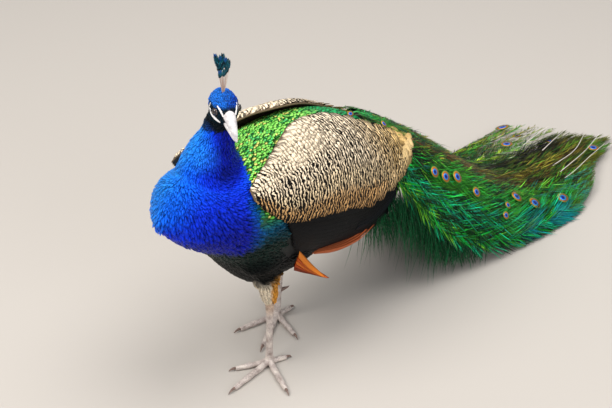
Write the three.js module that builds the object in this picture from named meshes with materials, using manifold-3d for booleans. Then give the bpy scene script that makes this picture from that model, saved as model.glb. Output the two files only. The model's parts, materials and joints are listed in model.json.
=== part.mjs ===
// Standing Indian peacock, life size, in millimetres. +Z is up, -Y is ahead of the bird, +X is its left side.
// Everything is placed from the floor point midway between the feet; at the end the group is shifted so that
// the origin lies on the floor under the middle of the bird's bounding box.
import * as THREE from 'three';
import { mergeVertices } from 'three/addons/utils/BufferGeometryUtils.js';
import Module from 'manifold-3d';

const wasm = await Module();
wasm.setup();

// ---------------------------------------------------------------- driving dimensions
const GAP = 0.35; // clearance kept between touching pieces
const FLOOR = 0;

const BREAST_FRONT = -240; // Y of the foremost point of the breast
const RUMP_END = 292; // Y where the trunk ends, under the train

// Profiles of the trunk along Y: [Y, value]
const BACK_HEIGHT = [[-240, 362], [-208, 414], [-165, 424], [-100, 418], [-20, 432], [70, 430], [160, 400],
  [230, 354], [292, 300]];
const BELLY_HEIGHT = [[-240, 344], [-208, 304], [-165, 267], [-140, 237], [-100, 186], [-60, 151], [-20, 144],
  [70, 151], [160, 206], [230, 250], [292, 282]];
const WAIST_HEIGHT = [[-240, 353], [-165, 336], [-20, 310], [160, 306], [292, 292]];
const TRUNK_HALF_WIDTH = [[-240, 10], [-208, 56], [-165, 82], [-100, 97], [-20, 102], [70, 99], [160, 82],
  [230, 57], [292, 12]];

// Sleeve that the folded wings lie on, outside the trunk
const SLEEVE_TOP = [[-130, 424], [-60, 436], [20, 442], [100, 428], [180, 392], [250, 350], [320, 300]];
const SLEEVE_HALF_WIDTH = [[-130, 98], [-60, 109], [20, 114], [100, 110], [180, 97], [250, 80], [320, 56]];
const SLEEVE_MIDDLE = [[-130, 330], [-60, 325], [20, 316], [100, 300], [180, 280], [250, 262], [320, 244]];
const SLEEVE_BELOW = [[-130, 150], [20, 160], [180, 120], [320, 80]];

// ---------------------------------------------------------------- helpers
const rad = THREE.MathUtils.degToRad;
const V = (x, y, z) => new THREE.Vector3(x, y, z);

// A smooth curve through [place, value] pairs, held level past its ends.
function profile(points) {
  const slope = (i) => {
    const a = points[Math.max(i - 1, 0)];
    const b = points[Math.min(i + 1, points.length - 1)];
    return (b[1] - a[1]) / (b[0] - a[0]);
  };
  return (place) => {
    if (place <= points[0][0]) return points[0][1];
    if (place >= points.at(-1)[0]) return points.at(-1)[1];
    const i = points.findIndex((p) => p[0] > place) - 1;
    const [x0, v0] = points[i];
    const [x1, v1] = points[i + 1];
    const span = x1 - x0;
    const t = (place - x0) / span;
    const t2 = t * t;
    const t3 = t2 * t;
    return (2 * t3 - 3 * t2 + 1) * v0 + (t3 - 2 * t2 + t) * span * slope(i)
      + (3 * t2 - 2 * t3) * v1 + (t3 - t2) * span * slope(i + 1);
  };
}

// three.js geometry to a manifold solid, and back.
function solid(geometry) {
  const bare = geometry.clone();
  for (const name of ['normal', 'uv']) bare.deleteAttribute(name);
  const merged = mergeVertices(bare, 1e-3);
  const triVerts = new Uint32Array(merged.index.array);
  const vertProperties = merged.attributes.position.array;
  const made = new wasm.Manifold(new wasm.Mesh({ numProp: 3, vertProperties, triVerts }));
  if (made.volume() > 0) return made;
  for (let i = 0; i < triVerts.length; i += 3) {
    [triVerts[i], triVerts[i + 1]] = [triVerts[i + 1], triVerts[i]];
  }
  return new wasm.Manifold(new wasm.Mesh({ numProp: 3, vertProperties, triVerts }));
}

function geometryOf(manifold) {
  const mesh = manifold.getMesh();
  const places = new Float32Array(mesh.numVert * 3);
  for (let i = 0; i < mesh.numVert; i++) {
    places.set(mesh.vertProperties.subarray(i * mesh.numProp, i * mesh.numProp + 3), i * 3);
  }
  const geometry = new THREE.BufferGeometry().setAttribute('position', new THREE.BufferAttribute(places, 3));
  return geometry.setIndex(new THREE.BufferAttribute(mesh.triVerts, 1));
}

// A closed body of rings: ring(i) gives a function from angle to point, and the poles close the ends.
function ringed(count, sides, ring, firstPole, lastPole) {
  const geometry = new THREE.SphereGeometry(1, sides, count + 1);
  const place = geometry.attributes.position;
  let k = 0;
  for (let row = 0; row <= count + 1; row++) {
    const at = row > 0 && row <= count ? ring(row - 1) : null;
    for (let side = 0; side <= sides; side++, k++) {
      const angle = ((side % sides) / sides) * Math.PI * 2;
      const p = at ? at(angle) : row === 0 ? firstPole : lastPole;
      place.setXYZ(k, p.x, p.y, p.z);
    }
  }
  return solid(geometry);
}

// A round body along a curved line. Each station is [x, y, z, half width, half height],
// the width measured across `side`.
function limb(stations, sides = 10, side = V(1, 0, 0), grow = 0) {
  const centres = stations.map((s) => V(s[0], s[1], s[2]));
  const tangent = (i) => centres[Math.min(i + 1, centres.length - 1)].clone()
    .sub(centres[Math.max(i - 1, 0)]).normalize();
  const ring = (i) => {
    const t = tangent(i);
    const up = t.clone().cross(side).normalize();
    const across = up.clone().cross(t).normalize();
    return (angle) => centres[i].clone()
      .addScaledVector(across, (stations[i][3] + grow) * Math.cos(angle))
      .addScaledVector(up, (stations[i][4] + grow) * Math.sin(angle));
  };
  const last = centres.length - 1;
  const cap = (i, sign) => centres[i].clone()
    .addScaledVector(tangent(i), sign * (0.45 * stations[i][4] + grow));
  return ringed(centres.length, sides, ring, cap(0, -1), cap(last, 1));
}

// A closed slab over a surface: surface(u, v) with u and v from 0 to 1, thick(u, v) below it along its normal.
function slab(nu, nv, surface, thick, grow = 0) {
  const geometry = new THREE.BoxGeometry(1, 1, 1, nu, nv, 1);
  const place = geometry.attributes.position;
  const step = 1e-3;
  for (let k = 0; k < place.count; k++) {
    const u = place.getX(k) + 0.5;
    const v = place.getY(k) + 0.5;
    const along = surface(Math.min(u + step, 1), v).sub(surface(Math.max(u - step, 0), v));
    const across = surface(u, Math.min(v + step, 1)).sub(surface(u, Math.max(v - step, 0)));
    const p = surface(u, v);
    const normal = along.clone().cross(across).normalize();
    const depth = place.getZ(k) > 0 ? grow : -(thick(u, v) + grow);
    p.addScaledVector(normal, depth);
    if (grow) {
      if (u < 1e-6) p.addScaledVector(along.normalize(), -grow);
      if (u > 1 - 1e-6) p.addScaledVector(along.normalize(), grow);
      if (v < 1e-6) p.addScaledVector(across.normalize(), -grow);
      if (v > 1 - 1e-6) p.addScaledVector(across.normalize(), grow);
    }
    place.setXYZ(k, p.x, p.y, p.z);
  }
  return solid(geometry);
}

// A big box used as a cutter: the half space on one side of a plane through `point`, `away` pointing into it.
function halfSpace(point, away) {
  const size = 3000;
  const geometry = new THREE.BoxGeometry(size, size, size);
  const turn = new THREE.Quaternion().setFromUnitVectors(V(0, 0, 1), away.clone().normalize());
  const centre = point.clone().addScaledVector(away.clone().normalize(), size / 2);
  return solid(geometry.applyMatrix4(new THREE.Matrix4().compose(centre, turn, V(1, 1, 1))));
}

// Cuts a solid at a plane: [the part behind the plane, the part ahead of it], GAP apart.
function part(whole, point, ahead) {
  const unit = ahead.clone().normalize();
  const near = whole.subtract(halfSpace(point.clone().addScaledVector(unit, -GAP / 2), unit));
  const far = whole.subtract(halfSpace(point.clone().addScaledVector(unit, GAP / 2), unit.clone().negate()));
  return [near, far];
}

// The largest piece of a cut solid, without the slivers of facet that the cuts leave.
const biggest = (m) => m.simplify(0.25 * GAP).decompose().sort((a, b) => b.volume() - a.volume())[0];

const bird = new THREE.Group();
bird.name = 'peacock';
function add(name, material, manifold, group = bird) {
  const mesh = new THREE.Mesh(manifold.isBufferGeometry ? manifold : geometryOf(manifold), material);
  mesh.name = name;
  group.add(mesh);
  return mesh;
}

// ---------------------------------------------------------------- finishes
const finish = (name, color, roughness = 0.6, metalness = 0) =>
  new THREE.MeshStandardMaterial({ name, color, roughness, metalness });
const BLUE = finish('blue plumage', 0x1446d8, 0.45, 0.2);
const DARK = finish('blackish green plumage', 0x0d2320);
const SCALE_GREEN = finish('scaled green and gold plumage', 0x6f9a2c, 0.45, 0.2);
const BARRED = finish('barred cream plumage', 0xcdb68e, 0.8);
const FLIGHT_BLACK = finish('black flight feathers', 0x10131c, 0.5);
const CHESTNUT = finish('chestnut flight feathers', 0xc4602a, 0.6);
const TRAIN_GREEN = finish('green train', 0x1f7a3d, 0.5, 0.2);
const TAIL_BROWN = finish('brown tail', 0x4b3a2a, 0.8);
const BUFF = finish('buff thigh plumage', 0xc08a4a, 0.8);
const BILL_HORN = finish('bill horn', 0xcfc4bb, 0.45);
const EYE = finish('eye', 0x2b1508, 0.1);
const LEG_SCALE = finish('leg scales', 0xb9ada6, 0.6);
const CLAW_HORN = finish('claw horn', 0x6d5f58, 0.5);
const CREST = finish('crest', 0x12606e, 0.5);

// ---------------------------------------------------------------- trunk
const back = profile(BACK_HEIGHT);
const belly = profile(BELLY_HEIGHT);
const waist = profile(WAIST_HEIGHT);
const trunkHalfWidth = profile(TRUNK_HALF_WIDTH);

// A point on the trunk: the angle runs from the back (0) over the left flank to the belly (PI).
function flank(y, angle, grow = 0) {
  const rise = Math.cos(angle);
  const reach = rise > 0 ? back(y) - waist(y) : waist(y) - belly(y);
  return V((trunkHalfWidth(y) + grow) * Math.sin(angle), y, waist(y) + (reach + grow) * rise);
}

function trunkSolid(grow = 0) {
  const rings = 14;
  // Rings crowd towards both ends, where the outline turns fastest.
  const ringY = (i) => {
    const t = i / (rings - 1);
    const eased = 0.5 - 0.5 * Math.cos(Math.PI * (0.06 + 0.88 * t));
    return THREE.MathUtils.lerp(BREAST_FRONT, RUMP_END, eased);
  };
  const ring = (i) => (angle) => flank(ringY(i), angle, grow);
  const front = V(0, BREAST_FRONT - 2 - grow, waist(BREAST_FRONT));
  const rear = V(0, RUMP_END + grow, waist(RUMP_END));
  return ringed(rings, 18, ring, front, rear);
}

// ---------------------------------------------------------------- neck and head
const HEAD_CENTRE = V(10, -98, 512);
const HEAD_YAW = 65; // degrees that the head is turned to the bird's left
const HEAD_DIP = 15; // degrees that the bill points down
// Neck stations: x, y, z, half width, half depth
const NECK = [
  [0, -128, 352, 80, 84],
  [0, -128, 388, 63, 72],
  [0, -124, 418, 47, 57],
  [1, -117, 445, 35, 43],
  [4, -109, 469, 27, 31],
  [7, -103, 490, 23, 25],
  [10, -98, 506, 20, 21],
];
const headPlace = new THREE.Matrix4()
  .makeRotationFromEuler(new THREE.Euler(rad(HEAD_DIP), 0, rad(HEAD_YAW), 'ZXY'))
  .setPosition(HEAD_CENTRE);
const inHead = (x, y, z) => V(x, y, z).applyMatrix4(headPlace);
const headSide = V(1, 0, 0).transformDirection(headPlace);
const headUp = V(0, 0, 1).transformDirection(headPlace);

// A limb whose stations are given in the head's own frame, where the bill points along -Y.
function headLimb(stations, sides, grow = 0) {
  const placed = stations.map(([x, y, z, w, h]) => [...inHead(x, y, z).toArray(), w, h]);
  return limb(placed, sides, headSide, grow);
}

const SKULL = [
  [0, 32, -6, 9, 9],
  [0, 26, -4, 16.5, 17],
  [0, 14, -0.5, 21.5, 22.5],
  [0, 0, 1.5, 22.5, 24],
  [0, -12, 1, 20, 20],
  [0, -21, -2, 14.5, 14.5],
  [0, -27, -4, 9.5, 9.5],
];
const UPPER_BILL = [
  [0, -17, 4, 10, 8.6],
  [0, -28, 3, 9.6, 8.6],
  [0, -39, 0, 7.8, 7.2],
  [0, -50, -4, 5.6, 5.2],
  [0, -59, -8.6, 3.5, 3.1],
  [0, -64.5, -13.4, 1.4, 1.4],
];
const LOWER_BILL = [
  [0, -18, -7.5, 9.6, 4],
  [0, -30, -9.6, 8.8, 3.8],
  [0, -42, -11.6, 6.8, 3.2],
  [0, -53, -14.2, 4.2, 2.3],
  [0, -59, -16.2, 1.9, 1.3],
];
const EYE_PLACE = [17.6, -11, 4.8];
const EYE_RADIUS = 6;

// The crest: bare shafts that fan out fore and aft and to both sides, each with a small paddle at its tip
const CREST_COUNT = 9;
const CREST_FAN = 38; // degrees from the first shaft to the last
const CREST_LEAN = 17; // degrees that the middle shaft leans back
const CREST_SPLAY = 2.5; // degrees between neighbours, to the sides
const CREST_LENGTH = 62;

function crestSolid() {
  const foot = inHead(0, 5, 26);
  const base = new THREE.SphereGeometry(3.6, 7, 5).applyMatrix4(new THREE.Matrix4().setPosition(foot));
  let crest = solid(base);
  for (let i = 0; i < CREST_COUNT; i++) {
    const spread = i / (CREST_COUNT - 1) - 0.5;
    const sweep = rad(spread * CREST_FAN + CREST_LEAN);
    const splay = rad((((i * 4) % CREST_COUNT) - 4) * CREST_SPLAY);
    const length = CREST_LENGTH - 12 * Math.abs(spread);
    const lean = V(Math.sin(splay), Math.sin(sweep), Math.cos(sweep) * Math.cos(splay));
    const aim = lean.transformDirection(headPlace);
    const tip = foot.clone().addScaledVector(aim, length);
    const at = (s) => foot.clone().lerp(tip, s).toArray();
    const shaft = limb([[...at(0), 0.7, 0.7], [...at(0.8), 0.5, 0.5]], 3, headSide);
    const vane = limb([[...at(0.78), 1.2, 1], [...at(0.88), 3.4, 1.6], [...at(0.97), 2.2, 1.2]], 4, headSide);
    crest = crest.add(shaft).add(vane);
  }
  return crest;
}

// ---------------------------------------------------------------- folded wings
const sleeveTop = profile(SLEEVE_TOP);
const sleeveHalfWidth = profile(SLEEVE_HALF_WIDTH);
const sleeveMiddle = profile(SLEEVE_MIDDLE);
const sleeveBelow = profile(SLEEVE_BELOW);

function sleeve(y, angle, side, inward = 0) {
  const rise = Math.cos(angle);
  const lift = side < 0 ? RIGHT_WING_LIFT(y) : 0;
  const spread = side < 0 ? RIGHT_WING_SPREAD(y) : 0;
  const lead = side < 0 ? RIGHT_WING_LEAD : 0;
  const reach = rise > 0 ? sleeveTop(y) + lift - sleeveMiddle(y) : sleeveMiddle(y) - sleeveBelow(y);
  const x = side * (sleeveHalfWidth(y) + spread - inward) * Math.sin(angle);
  return V(x, y - lead, sleeveMiddle(y) + (reach - inward) * rise);
}

// Upper and lower edges of each feather tract, as degrees round the sleeve along Y
const SHIELD_FRONT = -110;
const SHIELD_REAR = 288;
// The right wing is held a little higher and further forward than the left.
const RIGHT_WING_LIFT = profile([[-110, 4], [-40, 7], [20, 14], [200, 14]]);
const RIGHT_WING_SPREAD = profile([[-110, 14], [-40, 8], [40, 4]]);
const RIGHT_WING_LEAD = 18;
const SHIELD_UPPER = profile([[-110, 50], [-88, 41], [-58, 33], [-16, 22], [32, 11], [70, 8],
  [122, 11], [170, 18], [212, 27], [266, 36], [288, 48]]);
const SHIELD_LOWER = profile([[-110, 56], [-94, 70], [-76, 82], [-46, 92], [60, 96], [146, 99], [206, 90],
  [240, 80], [266, 70], [288, 54]]);
const FLIGHT_LOWER = profile([[-60, 101], [-42, 108], [-16, 121], [20, 135], [60, 142], [140, 143], [200, 140],
  [236, 130], [262, 110], [285, 92]]);

// A slab on the sleeve between two edges, from y0 to y1, its outer face `inward` inside the sleeve.
function tract(side, y0, y1, upper, lower, inward, depth, nu, nv, grow = 0) {
  const surface = (u, v) => {
    const y = THREE.MathUtils.lerp(y0, y1, side > 0 ? 1 - u : u);
    return sleeve(y, rad(THREE.MathUtils.lerp(upper(y), lower(y), v)), side, inward);
  };
  return slab(nu, nv, surface, () => depth, grow);
}

const FLIGHT_FRONT = -60;
const FLIGHT_REAR = 285;
const FLIGHT_INWARD = 9; // the flight feathers lie this far under the shield's outer face
const SHIELD_DEPTH = 8;
const FLIGHT_DEPTH = 5;
const tuckedEdge = (y) => SHIELD_LOWER(y) - 4; // the flight feathers' upper edge, under the shield

const shieldSolid = (side, grow = 0) =>
  tract(side, SHIELD_FRONT, SHIELD_REAR, SHIELD_UPPER, SHIELD_LOWER, 0, SHIELD_DEPTH, 10, 4, grow);
const flightSolid = (side, grow = 0) =>
  tract(side, FLIGHT_FRONT, FLIGHT_REAR, tuckedEdge, FLIGHT_LOWER, FLIGHT_INWARD, FLIGHT_DEPTH, 8, 2, grow);

// The chestnut primaries, a flat strip that shows below the black ones: x, y, z, half width, half height
const CHESTNUT_STRIP = [[61, 52, 189, 2.6, 4], [61, 76, 180, 3, 8.5], [61, 106, 173, 3, 10.5],
  [61, 140, 170, 3, 10.5], [60, 172, 173, 3, 9.5], [59, 206, 182, 2.4, 4.5]];
// The tips of the outer primaries, which hang below each folded wing
const WING_TIP = [[91, -24, 224, 2.4, 14], [82, 4, 199, 2.8, 14], [74, 28, 174, 2.8, 11.5],
  [69, 56, 147, 2.4, 6], [68, 78, 124, 1.4, 1.6]];

// A flat limb on the bird's own left side, or its mirror image on the right, further ahead like that wing.
function hanging(stations, side, sides, grow) {
  const lead = side < 0 ? RIGHT_WING_LEAD : 0;
  return limb(stations.map(([x, y, ...rest]) => [side * x, y - lead, ...rest]), sides, V(1, 0, 0), grow);
}

const chestnutSolid = (side, grow = 0) => hanging(CHESTNUT_STRIP, side, 6, grow);
const wingTipSolid = (side, grow = 0) =>
  hanging(WING_TIP, side, 6, grow).subtract(trunkSolid(GAP)).subtract(chestnutSolid(side, GAP));

// ---------------------------------------------------------------- legs and feet
// Foot, hock and knee of each leg, and its toes: degrees towards the bird's left, and reach with the claw
const LEGS = {
  left: {
    side: 1, foot: V(52, -53, FLOOR), hock: V(50, -47, 134), knee: V(56, -62, 232),
    toes: { inner: [-27, 61], middle: [6, 92], outer: [67, 80], hind: [158, 33] },
  },
  right: {
    side: -1, foot: V(-33, 48, FLOOR), hock: V(-37, 64, 133), knee: V(-56, 20, 232),
    toes: { outer: [-12, 78], middle: [30, 92], inner: [74, 66], hind: [177, 33] },
  },
};
const TOE_HEIGHT = 4.9; // height of a toe's middle line, so that its sole is a narrow flat on the floor
const CLAW_LENGTH = { inner: 12, middle: 15, outer: 13, hind: 9 };

function toeStations(foot, degrees, reach, claw) {
  const aim = V(Math.sin(rad(degrees)), -Math.cos(rad(degrees)), 0);
  const at = (s, z) => [...foot.clone().addScaledVector(aim, s).toArray().slice(0, 2), z];
  const length = reach - claw;
  return {
    toe: [
      [...at(0, 8.4), 6.6, 10],
      [...at(0.26 * length, TOE_HEIGHT + 0.4), 5.5, 6.5],
      [...at(0.74 * length, TOE_HEIGHT), 4.8, 5.9],
      [...at(length - 2, TOE_HEIGHT - 0.8), 3.6, 4.8],
    ],
    claw: [
      [...at(length - 3, TOE_HEIGHT + 1), 2.3, 2.6],
      [...at(length + 0.45 * claw, TOE_HEIGHT), 1.9, 2.2],
      [...at(length + 0.95 * claw, 1.5), 0.6, 0.7],
    ],
  };
}

const floorCut = (m) => m.subtract(halfSpace(V(0, 0, FLOOR), V(0, 0, -1)));

function legSolids({ side, foot, hock, knee, toes }) {
  const ankle = foot.clone().add(V(0, 0, 12));
  const across = V(1, 0, 0);
  const along = (s) => ankle.clone().lerp(hock, s).toArray();
  const shank = limb([[...along(0), 7, 7.4], [...along(0.12), 6, 6.8], [...along(0.4), 5.2, 6.2],
    [...along(0.75), 5.6, 6.6], [...along(0.93), 7.4, 8.4], [...along(1.02), 7, 7.6]], 8, across);
  let joined = null;
  const claws = {};
  for (const [name, [degrees, reach]] of Object.entries(toes)) {
    const made = toeStations(foot, degrees, reach, CLAW_LENGTH[name]);
    const aim = V(Math.cos(rad(degrees)), Math.sin(rad(degrees)), 0);
    const toe = limb(made.toe, 6, aim);
    joined = joined ? joined.add(toe) : toe;
    claws[name] = { shape: floorCut(limb(made.claw, 5, aim)), cutter: limb(made.claw, 5, aim, GAP) };
  }
  let pad = floorCut(joined);
  for (const claw of Object.values(claws)) pad = pad.subtract(claw.cutter);
  const [lower, upper] = part(shank, ankle.clone().add(V(0, 0, 5)), V(0, 0, 1));
  // The foot takes the lowest stretch of the shank, so that the joint is one solid with the toes.
  const footSolid = pad.add(lower).subtract(halfSpace(ankle.clone().add(V(0, 0, 5 - GAP / 2)), V(0, 0, 1)));
  const spurRoot = ankle.clone().lerp(hock, 0.36);
  const spurAim = V(-side * 0.45, 0.86, 0.22).normalize();
  const spurAt = (s, w) => [...spurRoot.clone().addScaledVector(spurAim, s).toArray(), w, w];
  const spurStations = [spurAt(5.2, 3), spurAt(10, 2.4), spurAt(17, 1.1), spurAt(20, 0.5)];
  const spur = limb(spurStations, 6, across);
  const shankUpper = upper.subtract(limb(spurStations, 6, across, GAP));
  const thigh = limb([[...knee.toArray(), 36, 56], [...knee.clone().lerp(hock, 0.35).toArray(), 25, 34],
    [...knee.clone().lerp(hock, 0.65).toArray(), 15, 18], [...knee.clone().lerp(hock, 0.88).toArray(), 10, 12],
    [...knee.clone().lerp(hock, 0.97).toArray(), 8.6, 9.6]], 10, across);
  const hockPlane = hock.clone().add(V(0, 0, 3));
  const thighOnly = thigh.subtract(halfSpace(hockPlane, V(0, 0, -1)));
  const shankOnly = shankUpper.subtract(halfSpace(hockPlane.clone().add(V(0, 0, -GAP)), V(0, 0, 1)));
  return { foot: biggest(footSolid), claws, shank: shankOnly, spur, thigh: thighOnly };
}

// ---------------------------------------------------------------- train and tail
const TRAIN_TOP = profile([[196, 390], [240, 364], [300, 322], [350, 284], [420, 226], [500, 156], [580, 96],
  [650, 60], [760, 40], [860, 34]]);
const TRAIN_EDGE = profile([[196, 322], [240, 246], [300, 150], [350, 92], [420, 46], [500, 20], [580, 12],
  [650, 9], [860, 8]]);
const TRAIN_HALF_WIDTH = profile([[196, 46], [240, 74], [300, 104], [350, 118], [420, 134],
  [500, 149], [580, 156], [650, 160], [760, 160], [860, 156]]);
const TRAIN_SWAY = profile([[196, 0], [400, 0], [600, -4], [860, -9]]); // sideways shift of the middle line
const TRAIN_DEPTH = profile([[200, 12], [300, 22], [420, 38], [560, 46], [780, 46]]);
const TRAIN_WRAP = 76; // degrees of the arch on each side

function trainPoint(y, across) {
  const angle = rad(TRAIN_WRAP * across);
  const low = Math.cos(rad(TRAIN_WRAP));
  const rise = (Math.cos(angle) - low) / (1 - low);
  const x = TRAIN_SWAY(y) + TRAIN_HALF_WIDTH(y) * Math.sin(angle) / Math.sin(rad(TRAIN_WRAP));
  return V(x, y, TRAIN_EDGE(y) + (TRAIN_TOP(y) - TRAIN_EDGE(y)) * rise);
}

// The whole train as one arched slab; its thickness is measured inwards from the outline.
const TRAIN_START = 200;
const TRAIN_ENDS = 780; // where the separate feather ends begin
function trainSolid(grow = 0) {
  const surface = (u, v) => trainPoint(THREE.MathUtils.lerp(TRAIN_ENDS, TRAIN_START, u), 2 * v - 1);
  const thick = (u, v) => {
    const full = TRAIN_DEPTH(THREE.MathUtils.lerp(TRAIN_ENDS, TRAIN_START, u));
    return full * (1 - 0.6 * Math.abs(2 * v - 1));
  };
  return floorCut(slab(12, 6, surface, thick, grow));
}
// The planes that part the train: across it, and along both sides of its middle
const TRAIN_CUTS = [400, 600];
const TRAIN_SIDE_CUT = [26, 84]; // distance of the side cuts from the middle at the start and at the end

// The loose feathers that hang from the edge of the train on each side, as a thin curtain
const FRINGE_START = 188;
const FRINGE_END = 430;
const FRINGE_SIDE = profile([[188, 60], [230, 78], [300, 101], [430, 136]]);
const FRINGE_LOW = profile([[188, 92], [250, 66], [330, 36], [430, 14]]);
function fringeSolid(side) {
  const surface = (u, v) => {
    const y = THREE.MathUtils.lerp(FRINGE_START, FRINGE_END, side > 0 ? 1 - u : u);
    const top = Math.min(TRAIN_EDGE(y) + 12, 210);
    return V(side * (FRINGE_SIDE(y) - 8 * v), y, THREE.MathUtils.lerp(top, FRINGE_LOW(y), v));
  };
  return slab(6, 1, surface, () => 6);
}

// ---------------------------------------------------------------- assembly
const wings = [['left', 1], ['right', -1]];
const cutters = [];
for (const [name, side] of wings) {
  const shield = shieldSolid(side);
  const flight = flightSolid(side).subtract(shieldSolid(side, GAP));
  const chestnut = chestnutSolid(side).subtract(flightSolid(side, GAP)).subtract(trunkSolid(GAP));
  add(`wing_${name}_shield`, BARRED, shield);
  add(`wing_${name}_secondaries`, FLIGHT_BLACK, flight);
  add(`wing_${name}_primaries`, CHESTNUT, biggest(chestnut));
  cutters.push(shieldSolid(side, GAP), flightSolid(side, GAP), chestnutSolid(side, GAP));
  add(`wing_${name}_tip`, CHESTNUT, biggest(wingTipSolid(side).subtract(flightSolid(side, GAP))));
}

const cutByWings = (m) => cutters.reduce((left, cutter) => left.subtract(cutter), m);
const [nearIn, farOut] = TRAIN_SIDE_CUT;
const sideCut = (side) => {
  const along = V(side * (farOut - nearIn), TRAIN_ENDS - TRAIN_START, 0).normalize();
  return [V(side * nearIn, TRAIN_START, 0), V(side * along.y, -side * along.x, 0)];
};
let restOfTrain = cutByWings(trainSolid());
const trainLengths = [];
for (const y of TRAIN_CUTS) {
  const [ahead, behind] = part(restOfTrain, V(0, y, 0), V(0, 1, 0));
  trainLengths.push(ahead);
  restOfTrain = behind;
}
trainLengths.push(restOfTrain);
['upper', 'lower', 'ground'].forEach((stretch, i) => {
  const [withoutLeft, left] = part(trainLengths[i], ...sideCut(1));
  const [middle, right] = part(withoutLeft, ...sideCut(-1));
  add(`train_${stretch}_middle`, TRAIN_GREEN, biggest(middle));
  add(`train_${stretch}_left`, TRAIN_GREEN, biggest(left));
  add(`train_${stretch}_right`, TRAIN_GREEN, biggest(right));
});

// The long feathers' ends, spread on the floor: root x, tip x, tip y
const TRAIN_LOBES = [[-150, -168, 862], [-101, -112, 908], [-53, -60, 926], [-5, -10, 952],
  [43, 42, 996], [91, 88, 872], [139, 129, 816]];
TRAIN_LOBES.forEach(([rootX, tipX, tipY], i) => {
  const start = TRAIN_ENDS + GAP;
  const at = (s) => [THREE.MathUtils.lerp(rootX, tipX, s), THREE.MathUtils.lerp(start, tipY, s)];
  const stations = [[...at(0.02), 18, 22, 16], [...at(0.4), 16, 22.5, 15], [...at(0.75), 12, 19, 11.5],
    [...at(0.95), 8, 11, 7.5]];
  const lobe = limb(stations, 7);
  const trimmed = lobe.subtract(halfSpace(V(0, start, 0), V(0, -1, 0)));
  add(`train_end_${i + 1}`, TRAIN_GREEN, floorCut(trimmed));
});

const tailPoint = (u, v) => {
  const y = THREE.MathUtils.lerp(540, 262, u);
  const half = THREE.MathUtils.lerp(74, 34, u);
  const across = 2 * v - 1;
  return V(half * across, y, TRAIN_TOP(y) - 62 - 12 * across * across);
};
const cutByTrain = (m) => m.subtract(trainSolid(GAP));
for (const [name, side] of wings) {
  add(`train_fringe_${name}`, TRAIN_GREEN, biggest(cutByWings(cutByTrain(fringeSolid(side)))));
}
add('tail', TAIL_BROWN, biggest(cutByWings(cutByTrain(slab(5, 3, tailPoint, () => 7)))));

const legs = Object.fromEntries(Object.entries(LEGS).map(([name, leg]) => [name, legSolids(leg)]));

const neck = limb(NECK, 14);
const skull = headLimb(SKULL, 14);
const upperBill = headLimb(UPPER_BILL, 8);
const lowerBill = headLimb(LOWER_BILL, 8).subtract(headLimb(UPPER_BILL, 8, GAP));
const crest = crestSolid();
let flesh = trunkSolid().add(neck).add(skull);
flesh = cutByTrain(cutByWings(flesh));
flesh = flesh.subtract(slab(5, 3, tailPoint, () => 7, GAP));
flesh = flesh.subtract(headLimb(UPPER_BILL, 8, GAP)).subtract(headLimb(LOWER_BILL, 8, GAP));
for (const side of [1, -1]) {
  const [x, y, z] = EYE_PLACE;
  const place = new THREE.Matrix4().setPosition(inHead(side * x, y, z));
  flesh = flesh.subtract(solid(new THREE.SphereGeometry(EYE_RADIUS + GAP, 10, 8).applyMatrix4(place)));
  const eye = add(side > 0 ? 'eye_left' : 'eye_right', EYE, new THREE.SphereGeometry(EYE_RADIUS, 10, 8));
  eye.position.copy(inHead(side * x, y, z));
}
for (const [name, leg] of Object.entries(legs)) {
  const thigh = leg.thigh.subtract(trunkSolid(GAP)).subtract(wingTipSolid(LEGS[name].side, GAP));
  add(`thigh_${name}`, BUFF, biggest(cutByWings(thigh)));
  add(`shank_${name}`, LEG_SCALE, leg.shank);
  add(`foot_${name}`, LEG_SCALE, leg.foot);
  add(`spur_${name}`, CLAW_HORN, leg.spur);
  for (const [toe, claw] of Object.entries(leg.claws)) add(`claw_${name}_${toe}`, CLAW_HORN, claw.shape);
}
add('bill_upper', BILL_HORN, upperBill);
add('bill_lower', BILL_HORN, lowerBill);
add('crest', CREST, crest.subtract(headLimb(SKULL, 14, GAP)));

// The flesh is one form, parted by thin cuts where a person would name its pieces.
const [belowHead, head] = part(flesh, V(4, -106, 486), V(0.1, 0.15, 1));
const [belowUpper, neckUpper] = part(belowHead, V(2, -114, 446), V(0, 0.15, 1));
const [body, neckLower] = part(belowUpper, V(0, -124, 404), V(0, -0.35, 1));
const [behindBreast, breast] = part(body, V(0, -96, 300), V(0, -1, -0.25));
const [front, rump] = part(behindBreast, V(0, 150, 300), V(0, 1, 0));
const [bellySolid, mantle] = part(front, V(0, 0, 262), V(0, 0, 1));
add('head', BLUE, biggest(head));
add('neck_upper', BLUE, biggest(neckUpper));
add('neck_lower', BLUE, biggest(neckLower));
add('breast', BLUE, biggest(breast));
add('mantle', SCALE_GREEN, biggest(mantle));
add('belly', DARK, biggest(bellySolid));
add('rump', SCALE_GREEN, biggest(rump));

const bounds = new THREE.Box3().setFromObject(bird);
const middle = bounds.getCenter(new THREE.Vector3());
bird.position.set(-middle.x, -middle.y, -bounds.min.z);

export default bird;
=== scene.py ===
# %% [markdown]
# # A live peacock, standing with its train on the ground
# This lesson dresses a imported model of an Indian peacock, life size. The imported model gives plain
# closed solids; here they get a skin, feathers, scales and horn. Feathers are real mesh, because an
# exported model drops particle hair and instances. All sizes are worked out in millimetres in the bird's
# own frame (x to its left, -y ahead, z up, from the floor midway between its feet) and turned to metres
# when a mesh is made.

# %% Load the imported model
import json
import math

import bpy
import numpy as np
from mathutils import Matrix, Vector
from mathutils.bvhtree import BVHTree

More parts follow.
